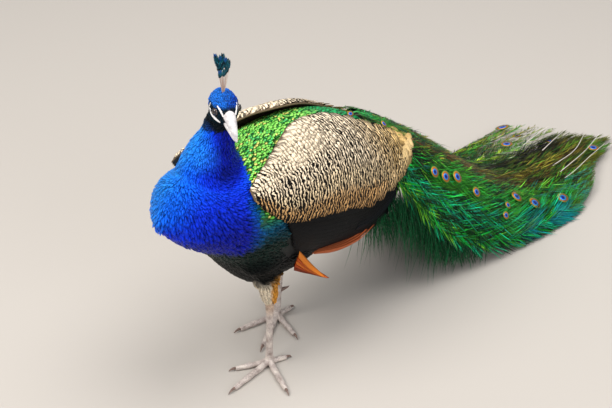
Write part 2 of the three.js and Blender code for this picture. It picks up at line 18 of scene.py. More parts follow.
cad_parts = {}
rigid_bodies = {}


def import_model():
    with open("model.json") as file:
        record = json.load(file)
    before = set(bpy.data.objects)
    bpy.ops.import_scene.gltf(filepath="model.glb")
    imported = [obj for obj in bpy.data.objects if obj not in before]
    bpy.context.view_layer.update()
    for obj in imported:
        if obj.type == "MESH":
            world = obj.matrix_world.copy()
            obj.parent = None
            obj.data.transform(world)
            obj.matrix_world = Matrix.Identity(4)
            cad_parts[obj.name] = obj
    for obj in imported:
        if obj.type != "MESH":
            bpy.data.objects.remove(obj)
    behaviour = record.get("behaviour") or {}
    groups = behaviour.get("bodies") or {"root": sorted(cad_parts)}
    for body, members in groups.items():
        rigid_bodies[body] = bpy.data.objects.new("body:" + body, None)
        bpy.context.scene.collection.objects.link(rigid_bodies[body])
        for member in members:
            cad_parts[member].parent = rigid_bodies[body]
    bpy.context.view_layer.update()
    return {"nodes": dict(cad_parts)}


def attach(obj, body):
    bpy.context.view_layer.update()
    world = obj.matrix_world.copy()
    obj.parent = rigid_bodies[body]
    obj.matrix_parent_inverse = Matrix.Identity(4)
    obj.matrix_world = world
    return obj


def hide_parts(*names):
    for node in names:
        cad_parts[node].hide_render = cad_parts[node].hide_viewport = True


for thing in list(bpy.data.objects):
    bpy.data.objects.remove(thing)
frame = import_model()
RNG = np.random.default_rng(7)


def turned(axis, degrees):
    """A 3 by 3 rotation about x (0), y (1) or z (2)."""
    c, s = math.cos(math.radians(degrees)), math.sin(math.radians(degrees))
    i, j = [(1, 2), (2, 0), (0, 1)][axis]
    matrix = np.eye(3)
    matrix[i, i] = matrix[j, j] = c
    matrix[i, j], matrix[j, i] = -s, s
    return matrix


HEAD_CENTRE = np.array((10.0, -98.0, 512.0))
HEAD_TURN = turned(2, 65) @ turned(0, 15)  # turned to the bird's left, bill a little down
EYE_PLACE = np.array((17.6, -11.0, 4.8))
EYE_RADIUS = 6.0


def in_head(points):
    """Points of the head's own frame, where the bill points along -y, in the bird's frame."""
    return np.asarray(points, float) @ HEAD_TURN.T + HEAD_CENTRE


def to_head(points):
    """Points of the bird's frame in the head's own."""
    return (np.asarray(points, float) - HEAD_CENTRE) @ HEAD_TURN


ORIGIN = np.array((10.115, -373.289, 0.0))  # mm that a point of the bird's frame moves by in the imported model's

# %% [markdown]
# ## Small helpers
# Every shape below is a table of points and a table of faces. `profile` draws a smooth curve through a
# few named sizes, `tube` sweeps a round section along a line, and `make` turns the tables into a mesh
# object with its place in its points, so that the object itself stays at the origin.

# %% Curves, directions and colours


def profile(pairs):
    """A smooth curve through (place, value) pairs, held level past its ends."""
    xs, vs = np.array(pairs, float).T
    before, after = np.maximum(np.arange(len(xs)) - 1, 0), np.minimum(np.arange(len(xs)) + 1, len(xs) - 1)
    slopes = (vs[after] - vs[before]) / (xs[after] - xs[before])

    def curve(place):
        place = np.clip(np.asarray(place, float), xs[0], xs[-1])
        i = np.clip(np.searchsorted(xs, place, side="right") - 1, 0, len(xs) - 2)
        span = xs[i + 1] - xs[i]
        t = (place - xs[i]) / span
        return ((2 * t**3 - 3 * t**2 + 1) * vs[i] + (t**3 - 2 * t**2 + t) * span * slopes[i]
                + (3 * t**2 - 2 * t**3) * vs[i + 1] + (t**3 - t**2) * span * slopes[i + 1])

    return curve


def unit(vectors):
    """Vectors of length 1 in the same directions."""
    vectors = np.asarray(vectors, float)
    return vectors / np.maximum(np.linalg.norm(vectors, axis=-1, keepdims=True), 1e-9)


def smooth(low, high, value):
    """0 below low, 1 above high, and an eased step between."""
    t = np.clip((np.asarray(value, float) - low) / (high - low), 0, 1)
    return t * t * (3 - 2 * t)


def mix(first, second, share):
    """The first where share is 0, the second where it is 1; share is one number or one for each point."""
    share = np.asarray(share, float)[..., None]
    return first * (1 - share) + second * share


def linear(code):
    """An sRGB hex value as the linear colour that Blender computes with."""
    channels = np.array([int(code[i:i + 2], 16) / 255 for i in (0, 2, 4)])
    return np.where(channels <= 0.04045, channels / 12.92, ((channels + 0.055) / 1.055) ** 2.4)


def layered(tint, *layers):
    """A tint under further ones; each layer is a hex colour and how far it covers what lies under it."""
    for code, share in layers:
        tint = mix(tint, linear(code), share)
    return tint

# %% Closed shapes


def outward(points, faces):
    """The faces, turned round if the closed shape they bound is inside out."""
    total = 0.0
    for face in faces:
        a = points[face[0]]
        for b, c in zip(face[1:-1], face[2:]):
            total += np.dot(a, np.cross(points[b], points[c]))
    return faces if total > 0 else [tuple(reversed(face)) for face in faces]


def rings_shape(rings, first=None, last=None):
    """A closed shape from equal rings of points, with a pole at each end."""
    rings = np.asarray(rings, float)
    count, sides = rings.shape[:2]
    first = rings[0].mean(0) if first is None else first
    last = rings[-1].mean(0) if last is None else last
    points = np.vstack([rings.reshape(-1, 3), first, last])
    faces = []
    for row in range(count - 1):
        for k in range(sides):
            a, b = row * sides + k, row * sides + (k + 1) % sides
            faces.append((a, b, b + sides, a + sides))
    end = (count - 1) * sides
    for k in range(sides):
        faces.append((count * sides, (k + 1) % sides, k))
        faces.append((count * sides + 1, end + k, end + (k + 1) % sides))
    return points, outward(points, faces)


def along_line(stations, steps):
    """Stations of any width, drawn again as `steps` even ones on smooth curves."""
    stations = np.array(stations, float)
    reach = np.concatenate([[0], np.cumsum(np.linalg.norm(np.diff(stations[:, :3], axis=0), axis=1))])
    places = np.linspace(0, reach[-1], steps)
    return np.stack([profile(np.stack([reach, column], 1))(places) for column in stations.T], 1), places


def tube(stations, sides=16, steps=24, side=(1, 0, 0), swell=None, caps=3):
    """A round body along stations (x, y, z, half width, half height); swell(angle, mm) scales its rings."""
    line, places = along_line(stations, steps)
    centre, wide, tall = line[:, :3], line[:, 3], line[:, 4]
    run = unit(np.gradient(centre, axis=0))
    up = unit(np.cross(run, side))
    across = unit(np.cross(up, run))
    angle = np.linspace(0, 2 * np.pi, sides, endpoint=False)
    grow = np.ones((steps, sides))
    if swell is not None:
        grow = swell(angle[None, :], places[:, None]) * grow
    rings = (centre[:, None] + across[:, None] * (wide[:, None] * np.cos(angle) * grow)[..., None]
             + up[:, None] * (tall[:, None] * np.sin(angle) * grow)[..., None])
    ends = []
    for i, sign in ((0, -1), (-1, 1)):
        lean = [np.pi / 2 * (k + 1) / (caps + 1) for k in range(caps)]
        cap = [centre[i] + (rings[i] - centre[i]) * math.cos(a) + run[i] * sign * 0.45 * tall[i] * math.sin(a)
               for a in lean]
        ends.append((cap, centre[i] + run[i] * sign * 0.45 * tall[i]))
    rings = np.concatenate([ends[0][0][::-1], rings, ends[1][0]])
    return rings_shape(rings, ends[0][1], ends[1][1])


def joined(shapes):
    """Several (points, faces) tables as one."""
    points, faces, start = [], [], 0
    for some_points, some_faces in shapes:
        points.append(some_points)
        faces += [tuple(k + start for k in face) for face in some_faces]
        start += len(some_points)
    return np.vstack(points), faces

# %% Mesh objects


def to_model(points):
    """Bird frame in mm to the model's frame in metres."""
    return (np.asarray(points, float) + ORIGIN) / 1000


def make(name, points, faces, material=None, colours=None):
    """A smooth mesh object in the model's frame from points in mm."""
    mesh = bpy.data.meshes.new(name)
    mesh.from_pydata(to_model(points).tolist(), [], faces)
    mesh.validate()
    mesh.shade_smooth()
    if colours is not None:
        paint(mesh, "tint", colours)
    if material:
        mesh.materials.append(material)
    made = bpy.data.objects.new(name, mesh)
    bpy.context.collection.objects.link(made)
    return made


def paint(mesh, name, values, kind="FLOAT_COLOR", domain="POINT"):
    """Stores one value for each point: a colour, a vector or a number."""
    values = np.asarray(values, float)
    if kind == "FLOAT_COLOR":
        values = np.concatenate([values, np.ones((len(values), 1))], 1)
    layer = mesh.attributes.get(name) or mesh.attributes.new(name, kind, domain)
    layer.data.foreach_set({"FLOAT_COLOR": "color", "FLOAT_VECTOR": "vector", "FLOAT2": "vector",
                            "FLOAT": "value"}[kind], values.ravel())


def values_of(mesh, field):
    """One vector for each point of a mesh: its place, "co", or its "normal"."""
    flat = np.empty(len(mesh.vertices) * 3)
    mesh.vertices.foreach_get(field, flat)
    return flat.reshape(-1, 3)


def points_of(mesh):
    """A mesh's points in the bird's frame, in mm."""
    return values_of(mesh, "co") * 1000 - ORIGIN


def triangles(thing):
    return sum(len(p.vertices) - 2 for p in thing.data.polygons)

# %% [markdown]
# ## One function for every node
# Materials and Geometry Nodes trees are both made of nodes. One function adds any kind of node, sets its
# settings, and fills its inputs with plain values or with links from other nodes.

# %% Nodes


def add(tree, kind, inputs=None, **settings):
    """Adds a node. An input's value is a plain value, another node (its first output) or a socket."""
    made = tree.nodes.new(kind)
    for key, value in settings.items():
        setattr(made, key, value)
    for key, value in (inputs or {}).items():
        if isinstance(key, int):
            socket = made.inputs[key]
        else:
            socket = next(s for s in made.inputs if s.name == key and s.enabled)
        if isinstance(value, bpy.types.Node):
            value = next(s for s in value.outputs if s.enabled)
        if isinstance(value, bpy.types.NodeSocket):
            tree.links.new(value, socket)
        else:
            socket.default_value = value
    return made


def finish(name, **values):
    """A material with its Principled shader: returns the material, its tree and the shader."""
    material = bpy.data.materials.new(name)
    material.use_nodes = True
    tree = material.node_tree
    shader = tree.nodes["Principled BSDF"]
    for key, value in values.items():
        shader.inputs[key.replace("_", " ")].default_value = value
    return material, tree, shader


def rgba(code):
    """A hex colour as a socket's four linear values."""
    return (*linear(code), 1.0)


def ramp(tree, factor, stops):
    """A ramp whose stops are (place, hex colour) or (place, grey level)."""
    made = add(tree, "ShaderNodeValToRGB", {0: factor})
    while len(made.color_ramp.elements) < len(stops):
        made.color_ramp.elements.new(0.5)
    for element, (place, code) in zip(made.color_ramp.elements, stops):
        element.position = place
        element.color = rgba(code) if isinstance(code, str) else (code, code, code, 1)
    return made

# %% [markdown]
# ## Studio: camera, floor and soft light
# The camera looks down on the bird from its front left, from a standing person's eye height. Big area
# lights far away give soft shadows, which show the relief of feathers without hard edges.

# %% Camera, floor and lights
CAMERA_PLACE = Vector((1.4577, -1.7319, 1.600))
CAMERA_AIM = Vector((-0.589, 0.589, -0.553))

camera = bpy.data.objects.new("camera", bpy.data.cameras.new("camera"))
camera.data.lens, camera.data.sensor_width = 84, 36
camera.data.clip_start = 0.05
camera.location = CAMERA_PLACE
camera.rotation_euler = CAMERA_AIM.to_track_quat("-Z", "Y").to_euler()
bpy.context.collection.objects.link(camera)
scene = bpy.context.scene
scene.camera = camera
scene.view_settings.view_transform = "Standard"

world = scene.world or bpy.data.worlds.new("studio")
scene.world = world
world.use_nodes = True
world.node_tree.nodes["Background"].inputs["Color"].default_value = (0.95, 0.97, 1.0, 1)
world.node_tree.nodes["Background"].inputs["Strength"].default_value = 0.5


def light(name, place, aim, size, power, colour=(1, 1, 1)):
    lamp = bpy.data.lights.new(name, "AREA")
    lamp.size, lamp.energy, lamp.color = size, power, colour
    lamp.shape = "DISK"
    made = bpy.data.objects.new(name, lamp)
    made.location = place
    made.rotation_euler = (Vector(aim) - Vector(place)).to_track_quat("-Z", "Y").to_euler()
    bpy.context.collection.objects.link(made)


light("key", (-0.6, -2.6, 3.2), (0, -0.1, 0.3), 2.2, 120, (1, 0.98, 0.95))
light("overhead", (0.6, 0.4, 3.4), (0, 0, 0.2), 2.6, 80)
light("fill", (3.0, -0.6, 1.6), (0, 0, 0.3), 2.0, 30, (0.95, 0.97, 1))

# Matt paper: it takes soft shadows and shows no gloss
floor_finish = finish("pale studio floor", Roughness=0.9, Base_Color=rgba("b7b0a8"))[0]
floor_mesh = bpy.data.meshes.new("floor")
floor_mesh.from_pydata([(-6, -6, 0), (6, -6, 0), (6, 6, 0), (-6, 6, 0)], [], [(0, 1, 2, 3)])
floor_mesh.materials.append(floor_finish)
floor = bpy.data.objects.new("floor", floor_mesh)
bpy.context.collection.objects.link(floor)
print("camera at", tuple(round(v, 3) for v in CAMERA_PLACE))

# %% [markdown]
# ## The skin under the plumage
# A bird's body is one smooth form: trunk, neck, head and thighs run into each other. They are drawn here
# from the same sizes as the solids, welded into one surface by a voxel remesh, smoothed where they meet,
# and then drawn in by the depth of the plumage. Every small feather grows from this one skin.

# %% Body sizes and the welded skin
BACK_HEIGHT = profile([(-240, 362), (-208, 414), (-165, 424), (-100, 418), (-20, 432), (70, 430), (160, 400),
                       (230, 354), (292, 300)])
BELLY_HEIGHT = profile([(-240, 344), (-208, 304), (-165, 267), (-140, 237), (-100, 186), (-60, 151),
                        (-20, 144), (70, 151), (160, 206), (230, 250), (292, 282)])
WAIST_HEIGHT = profile([(-240, 353), (-165, 336), (-20, 310), (160, 306), (292, 292)])
TRUNK_HALF_WIDTH = profile([(-240, 10), (-208, 56), (-165, 82), (-100, 97), (-20, 102), (70, 99), (160, 82),
                            (230, 57), (292, 12)])
NECK = [(0, -128, 352, 80, 84), (0, -128, 388, 63, 72), (0, -124, 418, 47, 57), (1, -117, 445, 35, 43),
        (4, -109, 469, 27, 31), (7, -103, 490, 23, 25), (10, -98, 506, 20, 21)]
SKULL = [(0, 32, -6, 9, 9), (0, 26, -4, 16.5, 17), (0, 14, -0.5, 21.5, 22.5), (0, 0, 1.5, 22.5, 24),
         (0, -12, 1, 20, 20), (0, -21, -2, 14.5, 14.5), (0, -27, -4, 9.5, 9.5)]
LEGS = {
    "left": {"side": 1, "foot": (52, -53, 0), "hock": (50, -47, 134), "knee": (56, -62, 232),
             "toes": {"inner": (-27, 61), "middle": (6, 92), "outer": (67, 80), "hind": (158, 33)}},
    "right": {"side": -1, "foot": (-33, 48, 0), "hock": (-37, 64, 133), "knee": (-56, 20, 232),
              "toes": {"outer": (-12, 78), "middle": (30, 92), "inner": (74, 66), "hind": (177, 33)}},
}


def head_stations(stations):
    """Stations of the head's own frame, in the bird's."""
    return [(*in_head(s[:3]), *s[3:]) for s in stations]


HEAD_SIDE = HEAD_TURN @ np.array((1.0, 0, 0))


def trunk_shape():
    """The trunk from its sizes, in rings that crowd towards both ends."""
    front, length = -240, 532
    ys = front + length * (0.5 - 0.5 * np.cos(np.pi * np.linspace(0.03, 0.985, 90)))
    angle = np.linspace(0, 2 * np.pi, 96, endpoint=False)
    rise = np.cos(angle)[None]
    above, below = BACK_HEIGHT(ys) - WAIST_HEIGHT(ys), WAIST_HEIGHT(ys) - BELLY_HEIGHT(ys)
    reach = np.where(rise > 0, above[:, None], below[:, None])
    x = TRUNK_HALF_WIDTH(ys)[:, None] * np.sin(angle)
    z = WAIST_HEIGHT(ys)[:, None] + reach * rise
    return rings_shape(np.stack([x, np.broadcast_to(ys[:, None], x.shape), z], -1))


def thigh_stations(leg):
    """The feathered thigh, from the knee down towards the hock."""
    knee, hock = np.array(leg["knee"], float), np.array(leg["hock"], float)
    return [(*(knee + (hock - knee) * s), w, h) for s, w, h in
            ((0, 36, 56), (0.3, 21, 32), (0.5, 16, 21), (0.75, 14.5, 16), (0.9, 13, 14), (0.97, 11, 12))]

# %% Weld the skin
shapes = [trunk_shape(), tube(NECK, 48, 60), tube(head_stations(SKULL), 40, 40, HEAD_SIDE, caps=6)]
shapes += [tube(thigh_stations(leg), 32, 40) for leg in LEGS.values()]
skin = make("skin", *joined(shapes))


def applied(thing):
    """Turns an object's modifiers into its mesh."""
    graph = bpy.context.evaluated_depsgraph_get()
    mesh = bpy.data.meshes.new_from_object(thing.evaluated_get(graph), preserve_all_data_layers=True,
                                           depsgraph=graph)
    thing.modifiers.clear()
    old, thing.data = thing.data, mesh
    bpy.data.meshes.remove(old)
    mesh.name = thing.name
    return thing


weld = skin.modifiers.new("weld", "REMESH")
weld.mode, weld.voxel_size = "VOXEL", 0.003
ease = skin.modifiers.new("ease", "SMOOTH")
ease.factor, ease.iterations = 0.5, 10
applied(skin)
print("welded skin", triangles(skin), "triangles")

# %% [markdown]
# ## Where the plumage is deep, how it lies, and its colours
# Feathers lie from the bill backwards: down the neck, then back along the trunk, and down the thighs.
# Structural colour, not pigment, makes a peacock blue, and its hue shifts with the angle. The tint is painted
# lighter and nearer cyan on the side that faces the light, darker and nearer violet on the side away from it:
# painted light and shade, which follow the direction of the surface as well as the region.

# %% Plumage depth, lie and tint as functions of place


def spot(points, centre, radius):
    """1 at a place on the body, falling to 0 at its radius."""
    gap = np.linalg.norm((points - np.array(centre, float)) / np.array(radius, float), axis=1)
    return 1 - smooth(0, 1, gap)


def waver(points, scale, seed=0):
    """A slow wave over the body, from -1 to 1, that keeps edges between colours from being ruled lines."""
    p = np.asarray(points) / scale
    return (np.sin(p[:, 0] * 1.7 + p[:, 1] * 0.9 + seed) + np.sin(p[:, 1] * 2.3 - p[:, 2] * 1.3 + 2 * seed)
            + np.sin(p[:, 2] * 1.9 + p[:, 0] * 1.1 + 3 * seed)) / 3


def leg_share(points):
    """1 on the feathered lower thighs, 0 on the belly above them."""
    share = np.zeros(len(points))
    for leg in LEGS.values():
        knee, hock = np.array(leg["knee"], float), np.array(leg["hock"], float)
        run = hock - knee
        t = ((points - knee) @ run) / (run @ run)
        gap = np.linalg.norm(points - (knee + np.clip(t, 0, 1.1)[:, None] * run), axis=1)
        share = np.maximum(share, smooth(0.44, 0.52, t) * (1 - smooth(21, 27, gap)))
    return share


def mantle_share(points):
    """How far a point on the back is behind the blue of the neck: 0 on the neck, 1 on the mantle."""
    x, y, z = points.T
    edge = y + 70 + 0.43 * np.abs(x) + 5 * waver(points, 14)
    return smooth(-7, 7, edge) * smooth(318, 345, z)


def body_tint(points, normals):
    """The plumage's colour at each point of the body, region over region, with painted light and shade."""
    x, y, z = points.T
    # Painted light and shade: facing is how far the surface turns to the key light; the first layers make the
    # blue lighter and nearer cyan there, darker and nearer violet away from it
    facing = unit(normals) @ unit((-0.62, -0.42, 0.66))
    teal = smooth(-132, -96, y + 6 * waver(points, 20)) * smooth(58, 82, np.abs(x)) * (1 - smooth(372, 392, z))
    dark = 1 - smooth(282, 304, z + 7 * waver(points, 16, 1))
    tint = layered(
        linear("0619a8"), ("0838ee", smooth(-0.55, 0.1, facing)), ("0b6cff", smooth(-0.05, 0.55, facing)),
        ("2aa0ff", 0.75 * smooth(0.5, 0.95, facing)),
        # Painted highlight: bright azure on the front of the upper neck
        ("2aa0ff", 0.5 * spot(points, (14, -150, 455), (34, 34, 40))),
        # Painted shade: a dark hollow on the side of the neck, under the head
        ("02082c", 0.8 * spot(points, (44, -132, 430), (15, 22, 32))),
        ("031a80", 0.6 * spot(points, (30, -205, 318), (70, 60, 26))),
        ("026a94", 0.9 * teal), ("04353f", teal * (1 - smooth(300, 338, z))),
        ("04221c", dark), ("050807", dark * (1 - smooth(225, 275, z))))
    green = mix(linear("3f9a34"), linear("6fb83c"), smooth(-30, 60, y))
    rump = smooth(120, 165, y) * smooth(300, 330, z)
    flank = smooth(-60, -20, y) * (1 - smooth(330, 350, z))
    tint = layered(mix(tint, green, mantle_share(points)), ("12703c", rump), ("060606", flank))
    across = x - np.where(x > 0, 53, -45) + 0.9 * (y - np.where(x > 0, -50, 52)) - 5
    buff = mix(linear("f0e0c6"), linear("e09a3a"), smooth(-4, 4, across))
    return mix(tint, buff, leg_share(points))


def coat_depth(points):
    """How far the skin lies under the tips of the feathers, in mm."""
    _, y, z = points.T
    depth = 4.5 + 2.5 * smooth(-60, -160, y) * (1 - smooth(400, 440, z)) - 1.5 * smooth(418, 460, z)
    depth = depth + 4.0 * (1 - smooth(240, 300, z))
    on_head = smooth(478, 492, z)
    depth = depth * (1 - on_head) + 1.2 * on_head
    share = leg_share(points)
    return depth * (1 - share) + 0.8 * share


def lie_of(points, normals):
    """The way a feather points: down the neck, back along the trunk, down the thighs."""
    _, y, z = points.T
    lie = mix(np.array((0, 1.0, -0.25)), np.array((0, 0.25, -1.0)), 0.85 * smooth(-110, -170, y))
    lie = mix(lie, np.array((-0.1, -0.25, -1.0)), smooth(395, 450, z))
    lie = mix(lie, HEAD_TURN @ np.array((0, 1.0, -0.55)), smooth(484, 494, z))
    lie = mix(lie, np.array((0, 0.1, -1.0)), leg_share(points))
    lie = lie - normals * np.sum(lie * normals, axis=1, keepdims=True)
    return unit(lie)

# %% Draw the skin in and paint it
places = points_of(skin.data)
out = values_of(skin.data, "normal")
places = places - out * coat_depth(places)[:, None]
skin.data.vertices.foreach_set("co", to_model(places).ravel())
skin.data.update()
out = values_of(skin.data, "normal")
# Painted shade: the skin that shows between the feathers takes their colour, darkened
paint(skin.data, "tint", body_tint(places, out) * 0.55)
paint(skin.data, "feather_tint", body_tint(places, out))
paint(skin.data, "lie", lie_of(places, out), "FLOAT_VECTOR")
print("skin stands", places.min(0).round(), "to", places.max(0).round(), "mm")

# %% [markdown]
# ## Geometry Nodes that lay feathers
# One feather is a small closed vane, drawn once. A tree puts a copy at every point, turns it so that its
# length follows the lie of the coat and its face looks outwards, and sizes it. The points come either from
# the tree itself, which scatters them over the skin at an even spacing, or from rows that are worked out
# beforehand, where a bird has clear rows. Each copy also gets a tiny patch of a texture map at its root's
# place, so that a baked texture keeps one clean colour for each feather.

# %% The feather trees


def new_tree(name, sockets):
    """A Geometry Nodes tree with a mesh in, a mesh out and named inputs, and the node that gives these."""
    tree = bpy.data.node_groups.new(name, "GeometryNodeTree")
    tree.interface.new_socket("Geometry", in_out="INPUT", socket_type="NodeSocketGeometry")
    for label, kind in sockets:
        tree.interface.new_socket(label, in_out="INPUT", socket_type="NodeSocket" + kind)
    tree.interface.new_socket("Geometry", in_out="OUTPUT", socket_type="NodeSocketGeometry")
    return tree, tree.nodes.new("NodeGroupInput")


def named(tree, name):
    """A vector that the mesh carries under that name."""
    return add(tree, "GeometryNodeInputNamedAttribute", {"Name": name}, data_type="FLOAT_VECTOR")


def lay_on(tree, given, points, lie, size):
    """The shared end of both trees: one feather on each point, made real, with its patch and material."""
    along = add(tree, "FunctionNodeAlignRotationToVector", {"Vector": lie}, axis="Y")
    facing = add(tree, "FunctionNodeAlignRotationToVector", {"Rotation": along, "Vector": named(tree, "face")},
                 axis="Z", pivot_axis="Y")
    feather = add(tree, "GeometryNodeObjectInfo", {"Object": given.outputs["Feather"]})
    copies = add(tree, "GeometryNodeInstanceOnPoints", {
        "Points": points, "Instance": feather.outputs["Geometry"], "Rotation": facing, "Scale": size})
    real = add(tree, "GeometryNodeRealizeInstances", {"Geometry": copies})
    patch = add(tree, "ShaderNodeVectorMath", {0: named(tree, "vane"), 1: given.outputs["Patch"]},
                operation="MULTIPLY")
    place = add(tree, "ShaderNodeVectorMath", {0: patch, 1: named(tree, "root")}, operation="ADD")
    mapped = add(tree, "GeometryNodeStoreNamedAttribute", {"Geometry": real, "Name": "OFBake", "Value": place},
                 data_type="FLOAT2", domain="CORNER")
    dressed = add(tree, "GeometryNodeSetMaterial", {"Geometry": mapped, "Material": given.outputs["Material"]})
    add(tree, "NodeGroupOutput", {"Geometry": dressed})


SHARED_INPUTS = [("Feather", "Object"), ("Patch", "Vector"), ("Material", "Material")]
row_tree, given = new_tree("feathers in rows", SHARED_INPUTS)
lay_on(row_tree, given, given.outputs["Geometry"], named(row_tree, "lie"), named(row_tree, "size"))

# %% The tree that scatters a coat over the skin
coat_tree, given = new_tree("feathers over the skin", SHARED_INPUTS + [
    ("Tract", "String"), ("Spacing", "Float"), ("Most per square metre", "Float"), ("Width", "Float"),
    ("Length", "Float"), ("Lift", "Float"), ("Scruff", "Float"), ("Seed", "Int")])
tract = add(coat_tree, "GeometryNodeInputNamedAttribute", {"Name": given.outputs["Tract"]}, data_type="FLOAT")
sown = add(coat_tree, "GeometryNodeDistributePointsOnFaces", {
    "Mesh": given.outputs["Geometry"], "Distance Min": given.outputs["Spacing"],
    "Density Max": given.outputs["Most per square metre"], "Density Factor": tract,
    "Seed": given.outputs["Seed"]}, distribute_method="POISSON")
faced = add(coat_tree, "GeometryNodeStoreNamedAttribute", {
    "Geometry": sown.outputs["Points"], "Name": "face", "Value": sown.outputs["Normal"]},
    data_type="FLOAT_VECTOR", domain="POINT")
rooted = add(coat_tree, "GeometryNodeStoreNamedAttribute", {
    "Geometry": faced, "Name": "root", "Value": named(coat_tree, "OFBake")},
    data_type="FLOAT_VECTOR", domain="POINT")
bare = add(coat_tree, "GeometryNodeRemoveAttribute", {"Geometry": rooted, "Name": "OFBake"})
shade = add(coat_tree, "FunctionNodeRandomValue", {"Min": 0.72, "Max": 1.22, "Seed": given.outputs["Seed"]},
            data_type="FLOAT")
shaded = add(coat_tree, "ShaderNodeVectorMath", {0: named(coat_tree, "feather_tint"), "Scale": shade},
             operation="SCALE")
tinted = add(coat_tree, "GeometryNodeStoreNamedAttribute", {"Geometry": bare, "Name": "tint", "Value": shaded},
             data_type="FLOAT_COLOR", domain="POINT")
stray = add(coat_tree, "FunctionNodeRandomValue", {"Min": (-1, -1, -1), "Max": (1, 1, 1),
                                                  "Seed": given.outputs["Seed"]}, data_type="FLOAT_VECTOR")
strayed = add(coat_tree, "ShaderNodeVectorMath", {0: stray, "Scale": given.outputs["Scruff"]},
              operation="SCALE")
lie = add(coat_tree, "ShaderNodeVectorMath", {0: named(coat_tree, "lie"), 1: strayed}, operation="ADD")
one_size = add(coat_tree, "FunctionNodeRandomValue", {"Min": 0.82, "Max": 1.18, "Seed": given.outputs["Seed"]},
               data_type="FLOAT")
sizes = add(coat_tree, "ShaderNodeCombineXYZ", {
    0: given.outputs["Width"], 1: given.outputs["Length"], 2: given.outputs["Lift"]})
size = add(coat_tree, "ShaderNodeVectorMath", {0: sizes, "Scale": one_size}, operation="SCALE")
lay_on(coat_tree, given, tinted, lie, size)

# %% Run a tree and keep its mesh


def grown(name, base, tree, **values):
    """Runs a tree on a copy of a mesh, with its inputs by name, and keeps the result as a plain mesh."""
    made = bpy.data.objects.new(name, base.data.copy() if hasattr(base, "data") else base)
    bpy.context.collection.objects.link(made)
    runner = made.modifiers.new(tree.name, "NODES")
    runner.node_group = tree
    for item in tree.interface.items_tree:
        key = item.name.replace(" ", "_")
        if item.in_out == "INPUT" and key in values:
            runner[item.identifier] = values[key]
    applied(made)
    for layer in ("root", "lie", "face", "size", "feather_tint"):
        if layer in made.data.attributes:
            made.data.attributes.remove(made.data.attributes[layer])
    made.data.uv_layers["OFBake"].active_render = True
    print(name, triangles(made), "triangles")
    return made

# %% [markdown]
# ## Feather shapes
# A contour feather is a shallow roof: high along its shaft, low at both edges, narrow at the root, and
# curved so that its tip comes down on the next feather. Each shape is one unit long and one unit wide, and
# closed underneath, so it has an inside and an outside like any solid.

# %% Drawing one feather


def mould(name, points, faces, flat):
    """A unit feather for the trees to copy, with each point's place on its vane map."""
    points = np.array(points, float)
    made = make(name, points * 1000 - ORIGIN, outward(points, faces))
    layer = made.data.uv_layers.new(name="vane")
    for loop in made.data.loops:
        layer.data[loop.index].uv = flat[loop.vertex_index]
    return made


def vane(name, widths, rise, steps, ridge=0.16, bend=0.0):
    """A unit feather along +y. widths and rise are curves over 0 to 1; bend curves it sideways."""
    ts = np.linspace(0, 1, steps + 2)[1:-1]
    half, lift = profile(widths)(ts) / 2, profile(rise)(ts)
    points, flat = [(0, 0, 0)], [(0.5, 0)]
    for t, w, z in zip(ts, half, lift):
        x = bend * t * t
        points += [(x - w, t, z - ridge * w * 2), (x, t, z), (x + w, t, z - ridge * w * 2)]
        flat += [(0.5 - w, t), (0.5, t), (0.5 + w, t)]
    points.append((bend, 1, float(profile(rise)(1.0))))
    flat.append((0.5, 1))
    faces, last = [], len(points) - 1
    for k in range(3):
        n = (k + 1) % 3
        faces.append((0, 1 + n, 1 + k))
        faces.append((last, last - 3 + k, last - 3 + n))
        for row in range(steps - 1):
            a = 1 + row * 3
            faces.append((a + k, a + n, a + 3 + n, a + 3 + k))
    return mould(name, points, faces, flat)


NARROW = vane("narrow feather", [(0, 0.3), (0.35, 0.9), (0.75, 1), (1, 0.2)],
              [(0, 0), (0.4, 0.75), (0.8, 1), (1, 0.75)], 3)
SCALE = vane("scale feather", [(0, 0.35), (0.4, 0.85), (0.8, 1), (0.93, 0.8), (1, 0.35)],
             [(0, 0), (0.4, 0.7), (0.85, 1), (1, 0.8)], 4)
COVERT = vane("covert feather", [(0, 0.3), (0.3, 0.8), (0.7, 1), (0.9, 0.85), (1, 0.4)],
              [(0, 0), (0.3, 0.55), (0.75, 1), (1, 0.85)], 6)

# %% [markdown]
# ## Finish: iridescent plumage
# The blue of a peacock's neck is light scattered by regular layers in the barbules, so it is brilliant,
# a little metallic and never quite even. The colour comes from each feather's tint; the vane map adds
# painted shade at the root, a painted sheen towards the tip, and fine barbs that run out from the shaft.

# %% The plumage finish


